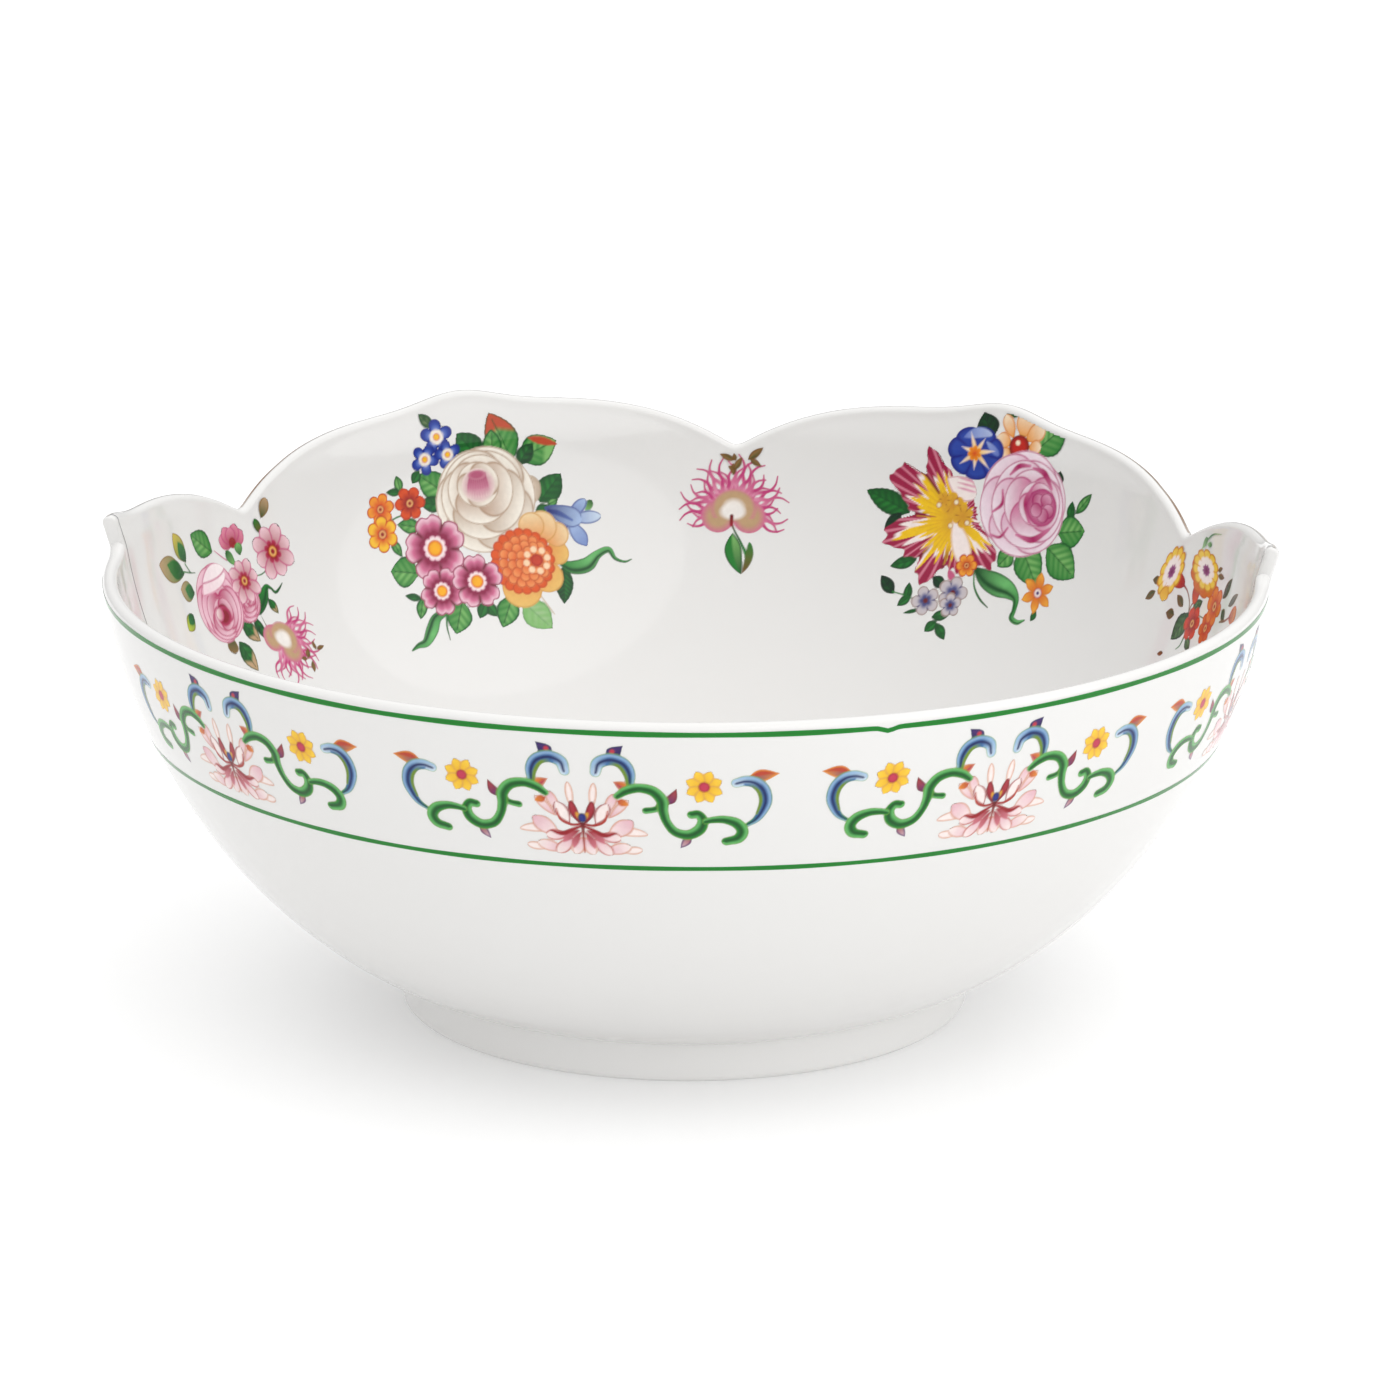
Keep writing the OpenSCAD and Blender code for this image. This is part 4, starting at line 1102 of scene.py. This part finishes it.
def paint_trumpet_spray(a):
    """Two yellow trumpets with orange flowers and dull leaves."""
    moss = dict(light=tone(92, 128, 80), dark=tone(40, 78, 52), rim=tone(30, 60, 44))
    a.stroke([(0.4, 16.6, 0.2), (2.6, 19.4, 0.35), (5.6, 21.6, 0.3), (10.6, 22.8, 0.15)],
             (0, GREEN_PALE), (0.5, tone(90, 130, 100)), (1, GREEN_PALE))
    a.petal(0.6, 16.6, 62, 4, 2.2, GREEN_PALE, tone(90, 130, 90))
    a.petal(2.8, 18.4, 8, 3.2, 1.6, GREEN_PALE, tone(90, 130, 90))
    twig_leaves(a, (-16, 4, 190, 3.6, 2.4), (-16.6, 1, -138, 4.6, 2.4), (-1, 0.6, 158, 5.4, 2.6),
                (-4, -2.4, 186, 4.6, 3), (13.4, 14, 24, 3.4, 1.4), (14.4, 13, 6, 5, 1.6),
                light=tone(110, 92, 66), dark=tone(56, 84, 58))
    twig_leaves(a, (22, 8.8, 58, 7.6, 3.6), (28.4, 8.6, 36, 8.4, 2.6), (24, 6.4, -20, 4.6, 3),
                light=tone(84, 84, 76), dark=tone(52, 70, 58))
    a.stroke([(-4.6, 5.8, 0.4), (-1.4, 4.8, 0.3), (1.4, 2.8, 0.3), (2.8, 0.6, 0.25)], (0, CRIMSON),
             (1, BROWN))
    a.stroke([(5.6, 3.6, 0.4), (3.4, 2.4, 0.3), (3, 0, 0.25)], (0, CRIMSON), (1, BROWN))
    a.stroke([(9, 1, 0.2), (14, 1.2, 0.25)], (0, GREEN_DARK), (1, GREEN_DARK))
    a.stroke([(5.4, -6, 0.4), (5, -8.4, 0.3), (3.6, -9.8, 0.2)], (0, GREEN_DARK), (1, GREEN))
    leaves(a, (3.4, 0, -118, 9.6, 6.6, moss), (4.4, 1, 38, 6, 3.6, moss), (6.6, -6, -24, 5, 3, moss))
    a.petal(-10.6, 6.4, -4, 7, 4.4, VERMILION, CRIMSON, edge=DEEP_RED, fat=0.3)
    a.petal(3, 8.6, -76, 6, 4.4, CRIMSON, VERMILION, edge=DEEP_RED, fat=0.45)
    trumpet_flower(a, -12, 7.4, 7.6, 0.68, 68)
    a.petal(-12, 3.6, -96, 4.4, 4.4, tone(222, 160, 60), tone(240, 190, 80), edge=tone(196, 120, 50))
    a.bloom(6, 10.6, 9.2, 9, (0, VERMILION), (1, tone(206, 110, 50)), squash=0.56, angle=-8, notch=0.12,
            edge=tone(186, 84, 40))
    trumpet_flower(a, 6, 12.2, 9, 0.56, -6)
    deep = dict(inner=tone(196, 70, 34), outer=tone(222, 120, 56))
    orange_flower(a, 16.4, -0.6, 4.4, 20, tone(186, 56, 34), tone(206, 92, 48))
    orange_flower(a, 17.8, 5.6, 5.4, 0, **deep)
    orange_flower(a, 7.2, -1.8, 4.6, 15, tone(150, 34, 40), tone(206, 70, 56))
    a.petal(31.6, 6.4, 22, 7.6, 5, CRIMSON, tone(226, 130, 60), edge=VERMILION)
    a.stroke([(25, 3.4, 0.3), (29, 4.8, 0.4), (33, 7, 0.3)], (0, BROWN), (1, CRIMSON))
    twig_leaves(a, (-2, -12.4, -160, 3, 1.4), light=tone(150, 84, 60))


def paint_poppy_spray(a):
    """Orange poppies with ruffled petals, a bud and grey-green leaves."""
    moss = dict(light=tone(110, 146, 92), dark=tone(48, 92, 58), rim=tone(34, 70, 46))
    leaves(a, (0, -4, -92, 14, 4.6, moss), (1.4, -6, -36, 9.6, 4, moss), (-1.4, -6, 214, 9.6, 4, moss))
    a.stroke([(0, -14, 0.3), (0.4, -6, 0.35), (0, 2, 0.3)], (0, GREEN_DARK), (1, GREEN))
    a.stroke([(0.3, -9, 0.25), (5, -8.6, 0.25), (8, -7, 0.25)], (0, GREEN_DARK), (1, GREEN))
    a.stroke([(0.2, -8, 0.25), (-4, -7, 0.25), (-8, -5.4, 0.25)], (0, GREEN_DARK), (1, GREEN))
    for way in (20, 92, 164, 236, 308):
        a.cup(3.3 * cosine(way), 6 + 3.3 * sine(way), 4.4, way, VERMILION, tone(244, 176, 90),
              tone(206, 96, 50))
    a.bloom(0, 6, 3, 8, (0, GREEN_DARK), (0.4, YELLOW), (1, DEEP_RED), notch=0.3)
    orange_flower(a, -9, -5, 4.7, 20)
    orange_flower(a, 8, -7, 4.7, 0, VERMILION, tone(238, 150, 60))


# ---- laying the paint on the bowl -----------------------------------------------------------------

# How far fired colour stands above the glaze, and how far transfers keep from the seam
LIFT, SEAM_CLEAR = 0.035, 0.15


def on_wall(curve, azimuth, length):
    """Points just above the wall at azimuths in degrees and lengths along its curve."""
    r, z = curve.at(length)
    n = curve.normal(length)
    return turned(azimuth, r + n[..., 0] * LIFT, z + n[..., 1] * LIFT)


def transfer(node, painting, curve, azimuth, z):
    """Lays a painting on the wall, its origin at an azimuth and height, and cuts it out along its edge."""
    way = 1 if curve is OUTSIDE else -1
    # points just outside the shapes are drawn in onto their outline
    slope_v, slope_u = np.gradient(painting.edge, GRAIN)
    outside = np.clip(painting.edge, 0, GRAIN)
    u, v = painting.u - slope_u * outside, painting.v - slope_v * outside
    length = curve.length_at(z) + v
    r, height = curve.at(length)
    around = azimuth + way * np.degrees(u / r)
    # nothing is painted past the lip or across the seam
    front = math.sin(math.radians(azimuth)) < 0
    from_seam = sine(around) * r * (-1 if front else 1)
    top = (RIM_H if front else rim_height(around)) - WALL_T / 2
    edge = np.maximum(painting.edge, np.maximum(SEAM_CLEAR - from_seam, height - top))
    inside = edge < 0
    cells = inside[:-1, :-1] | inside[1:, :-1] | inside[:-1, 1:] | inside[1:, 1:]
    cells &= (from_seam[:-1, :-1] > 0) & (from_seam[1:, 1:] > 0)
    rows, cols = np.nonzero(cells)
    wide = u.shape[1]
    first = rows * wide + cols
    corners = np.stack([first, first + 1, first + wide + 1, first + wide], 1)
    used, faces = np.unique(corners, return_inverse=True)
    points = on_wall(curve, around, length).reshape(-1, 3)[used]
    colours = np.clip(painting.paint.reshape(-1, 3)[used], 0, 1)
    piece = add_mesh(node + "_fired", points, faces.reshape(-1, 4).tolist(), node, colours)
    piece.data.materials.append(ENAMEL)


def strip(name, node, rows, colours, material):
    """A thin painted line from rows of points across it."""
    rows = np.asarray(rows)
    faces = grid_faces(*rows.shape[:2])
    piece = add_mesh(name, rows.reshape(-1, 3), faces, node, np.asarray(colours).reshape(-1, 3))
    piece.data.materials.append(material)


def green_line(name, node, z, width, dip):
    """A green line round the outside of the round half, darker in its middle, with a slip of the brush."""
    azimuths = np.arange(180.15, 359.86, 0.5)
    across = np.linspace(-1, 1, 7)
    dark, light = tone(0, 118, 40), tone(30, 146, 66)
    rows, colours = [], []
    for a in azimuths:
        wobble = 0.1 * sine(a * 7) - dip * math.exp(-(((a - SLIP_AZIMUTH) / 0.7) ** 2))
        wide = width / 2 * (1 + 0.08 * sine(a * 23))
        length = OUTSIDE.length_at(z + wobble) + across * wide
        rows.append(on_wall(OUTSIDE, np.full(len(across), a), length))
        shade = 0.5 + 0.5 * sine(a * 31) * 0.3
        colours.append(mixed(dark, light, np.abs(across) ** 2 * 0.8 + 0.2 * shade))
    strip(name, node, rows, colours, ENAMEL)


def seam_line(name, node, side, grey):
    """A fine grey line just behind the seam: up the outside, over the lip and down the inside."""
    azimuth = [math.degrees(math.asin((SEAM_GAP + k * SEAM_W / 2) / RIM_R)) for k in (-1, 0, 1)]
    rows = []
    for a in azimuth:
        loop = section(float(rim_height(a)), scalloped_lip(a))
        tangent = np.gradient(loop, axis=0)
        tangent /= np.linalg.norm(tangent, axis=1)[:, None]
        out = np.stack([tangent[:, 1], -tangent[:, 0]], 1)
        # the line stops short of the foot outside and of the floor inside
        r, z = (loop + out * LIFT)[8:-8].T
        y = RIM_R * sine(a)
        way = np.degrees(np.arcsin(y / r))
        rows.append(turned(way if side > 0 else 180 - way, r, z))
    rows = np.stack(rows, 1)
    strip(name, node, rows, np.tile(grey, (*rows.shape[:2], 1)), ENAMEL)


def gilt_line():
    """The gilt line on the scalloped rim's crown, strongest on the slopes at GILT_SLOPES, faint elsewhere."""
    turns = np.array([58, 71, 84])
    rows, colours = [], []
    for a in np.arange(0.3, 179.71, 0.3):
        lip = scalloped_lip(a)
        loop = section(float(rim_height(a)), lip)
        outer, inner = loop[SIDE_POINTS - 1], loop[-SIDE_POINTS]
        mid, across = (outer + inner) / 2, (outer - inner) / 2
        up = np.array([-across[1], across[0]])
        arc = across * cosine(turns)[:, None] + up * sine(turns)[:, None]
        r, z = (mid + arc * (1 + 0.05 / lip)).T
        rows.append(turned(np.full(len(turns), a), r, z))
        streaks = 0.5 + 0.5 * sine(a * 13) * sine(a * 47 + 20)
        # the line is strongest at GILT_SLOPES and fades towards the glaze's white elsewhere, with streaks
        # along it
        gilt_strength = 0.22 + 0.78 * max(math.exp(-(((a - slope) / 8) ** 2)) for slope in GILT_SLOPES)
        colours.append(mixed(WHITE, tone(132, 92, 52), np.full(3, (0.6 + 0.4 * streaks) * gilt_strength)))
    strip("gilt_rim_line_uneven", "gilt_rim_line", rows, colours, GILT)


# Azimuth of the first scroll, the step between scrolls, and the height of their middle
FRIEZE_START, FRIEZE_PITCH, FRIEZE_Z = -135.4, 41.0, 90.8

green_line("green_line_upper_fired", "green_line_upper", LINE_UPPER_Z, LINE_UPPER_W, SLIP_DEPTH)
green_line("green_line_lower_fired", "green_line_lower", LINE_LOWER_Z, LINE_LOWER_W, 0)
seam_line("seam_line_left_fired", "seam_line_left", -1, tone(96, 98, 104))
# The right seam line is painted much paler than the left one, as painted highlight on that end of the seam.
seam_line("seam_line_right_fired", "seam_line_right", 1, tone(188, 188, 190))
gilt_line()
scroll = Painting(-47.1, 47.1, -16, 18)
paint_lotus_scroll(scroll)
for number in range(4):
    transfer(f"lotus_scroll_{number + 1}", scroll, OUTSIDE,
             FRIEZE_START + number * FRIEZE_PITCH, FRIEZE_Z)

# Each transfer inside: its node, its painting, the painting's limits, its azimuth and height, and its slot
INSIDE_TRANSFERS = [
    ("rose_bouquet", paint_rose_bouquet, (-38, 40, -32, 36), 118.3, 87.3, "flower_enamels"),
    ("tulip_bouquet", paint_tulip_bouquet, (-38, 37, -32, 37), 60.4, 91.1, "flower_enamels"),
    ("thistle_sprig", paint_thistle_sprig, (-18, 18, -19, 20), 89.6, 91.2, "flower_enamels"),
    ("rose_spray", paint_rose_spray, (-38, 29, -32, 24), 155.2, 86.8, "flower_enamels"),
    ("trumpet_flower_spray", paint_trumpet_spray, (-24, 41, -16, 26), 25, 88.3, "orange_enamels"),
    ("poppy_spray_left", paint_poppy_spray, (-16, 16, -20, 16), -171, 87.3, "orange_enamels"),
    ("poppy_spray_centre", paint_poppy_spray, (-16, 16, -20, 16), -90, 87.3, "orange_enamels"),
    ("poppy_spray_right", paint_poppy_spray, (-16, 16, -20, 16), -13, 87.3, "orange_enamels"),
]
for node, paint, limits, azimuth, z, slot in INSIDE_TRANSFERS:
    painting = Painting(*limits)
    paint(painting)
    transfer(node, painting, INSIDE, azimuth, z)

# ---- floor, light and camera ----------------------------------------------------------------------


def add_floor():
    mesh = bpy.data.meshes.new("floor")
    half = 6.0
    corners = [(-half, -half, 0), (half, -half, 0), (half, half, 0), (-half, half, 0)]
    mesh.from_pydata(corners, [], [(0, 1, 2, 3)])
    floor = bpy.data.objects.new("floor", mesh)
    bpy.context.scene.collection.objects.link(floor)
    material, _, _, shader = new_material("white_sweep")
    set_inputs(shader, Base_Color=(0.8, 0.8, 0.8, 1), Roughness=0.6)
    # the sweep glows a little, like a lit table, which keeps the shadow under the bowl faint
    set_inputs(shader, Emission_Color=(1, 1, 1, 1), Emission_Strength=0.2)
    mesh.materials.append(material)


def add_light(name, place, aim, size, power):
    """Soft round box of light, its places and sizes in metres and its power in watts."""
    light = bpy.data.lights.new(name, "AREA")
    light.shape = "ELLIPSE"
    light.size, light.size_y = size
    light.energy = power
    lamp = bpy.data.objects.new(name, light)
    bpy.context.scene.collection.objects.link(lamp)
    lamp.location = place
    lamp.rotation_euler = (Vector(aim) - Vector(place)).to_track_quat("-Z", "Y").to_euler()


def add_world(overhead, left, right):
    """A soft studio dome: its brightness overhead, and at the height of the table on either side."""
    world = bpy.data.worlds.new("studio")
    bpy.context.scene.world = world
    world.use_nodes = True
    nodes, links = world.node_tree.nodes, world.node_tree.links
    where = nodes.new("ShaderNodeTexCoord")
    parts = nodes.new("ShaderNodeSeparateXYZ")
    links.new(where.outputs["Generated"], parts.inputs["Vector"])

    def spread(source, lowest, start, end):
        """A value that runs from start to end as the source runs from lowest to 1."""
        shade = set_inputs(nodes.new("ShaderNodeMapRange"), From_Min=lowest, To_Max=end)
        if isinstance(start, float):
            set_inputs(shade, To_Min=start)
        else:
            links.new(start, shade.inputs["To Min"])
        links.new(source, shade.inputs["Value"])
        return shade.outputs["Result"]

    table = spread(parts.outputs["X"], -1, left, right)
    dome = spread(parts.outputs["Z"], 0, table, overhead)
    links.new(dome, nodes["Background"].inputs["Strength"])
    set_inputs(nodes["Background"], Color=(1, 1, 1, 1))


def add_camera(azimuth, elevation, distance, roll, aim, lens):
    """Camera at the photograph's angle, with its azimuth from -Y towards +X. aim is turned with it."""
    around = Matrix.Rotation(math.radians(azimuth), 3, "Z")
    place = around @ Matrix.Rotation(-math.radians(elevation), 3, "X") @ Vector((0, -distance, 0))
    camera = bpy.data.cameras.new("camera")
    camera.lens = lens
    holder = bpy.data.objects.new("camera", camera)
    bpy.context.scene.collection.objects.link(holder)
    turn = (around @ Vector(aim) - place).to_track_quat("-Z", "Y").to_matrix()
    turn = turn @ Matrix.Rotation(math.radians(roll), 3, "Z")
    holder.matrix_world = Matrix.Translation(place) @ turn.to_4x4()
    bpy.context.scene.camera = holder


add_floor()
add_world(overhead=1.54, left=0.44, right=0.46)
add_light("right_box", (0.99, -0.775, 0.9), aim=(0, 0, 0.08), size=(2.5, 1.5), power=7.6)
add_camera(azimuth=5.38, elevation=18.2, distance=1.74, roll=0.25, aim=(0.0036, 0, 0.0767), lens=176.6)
bpy.context.scene.view_settings.view_transform = "Standard"
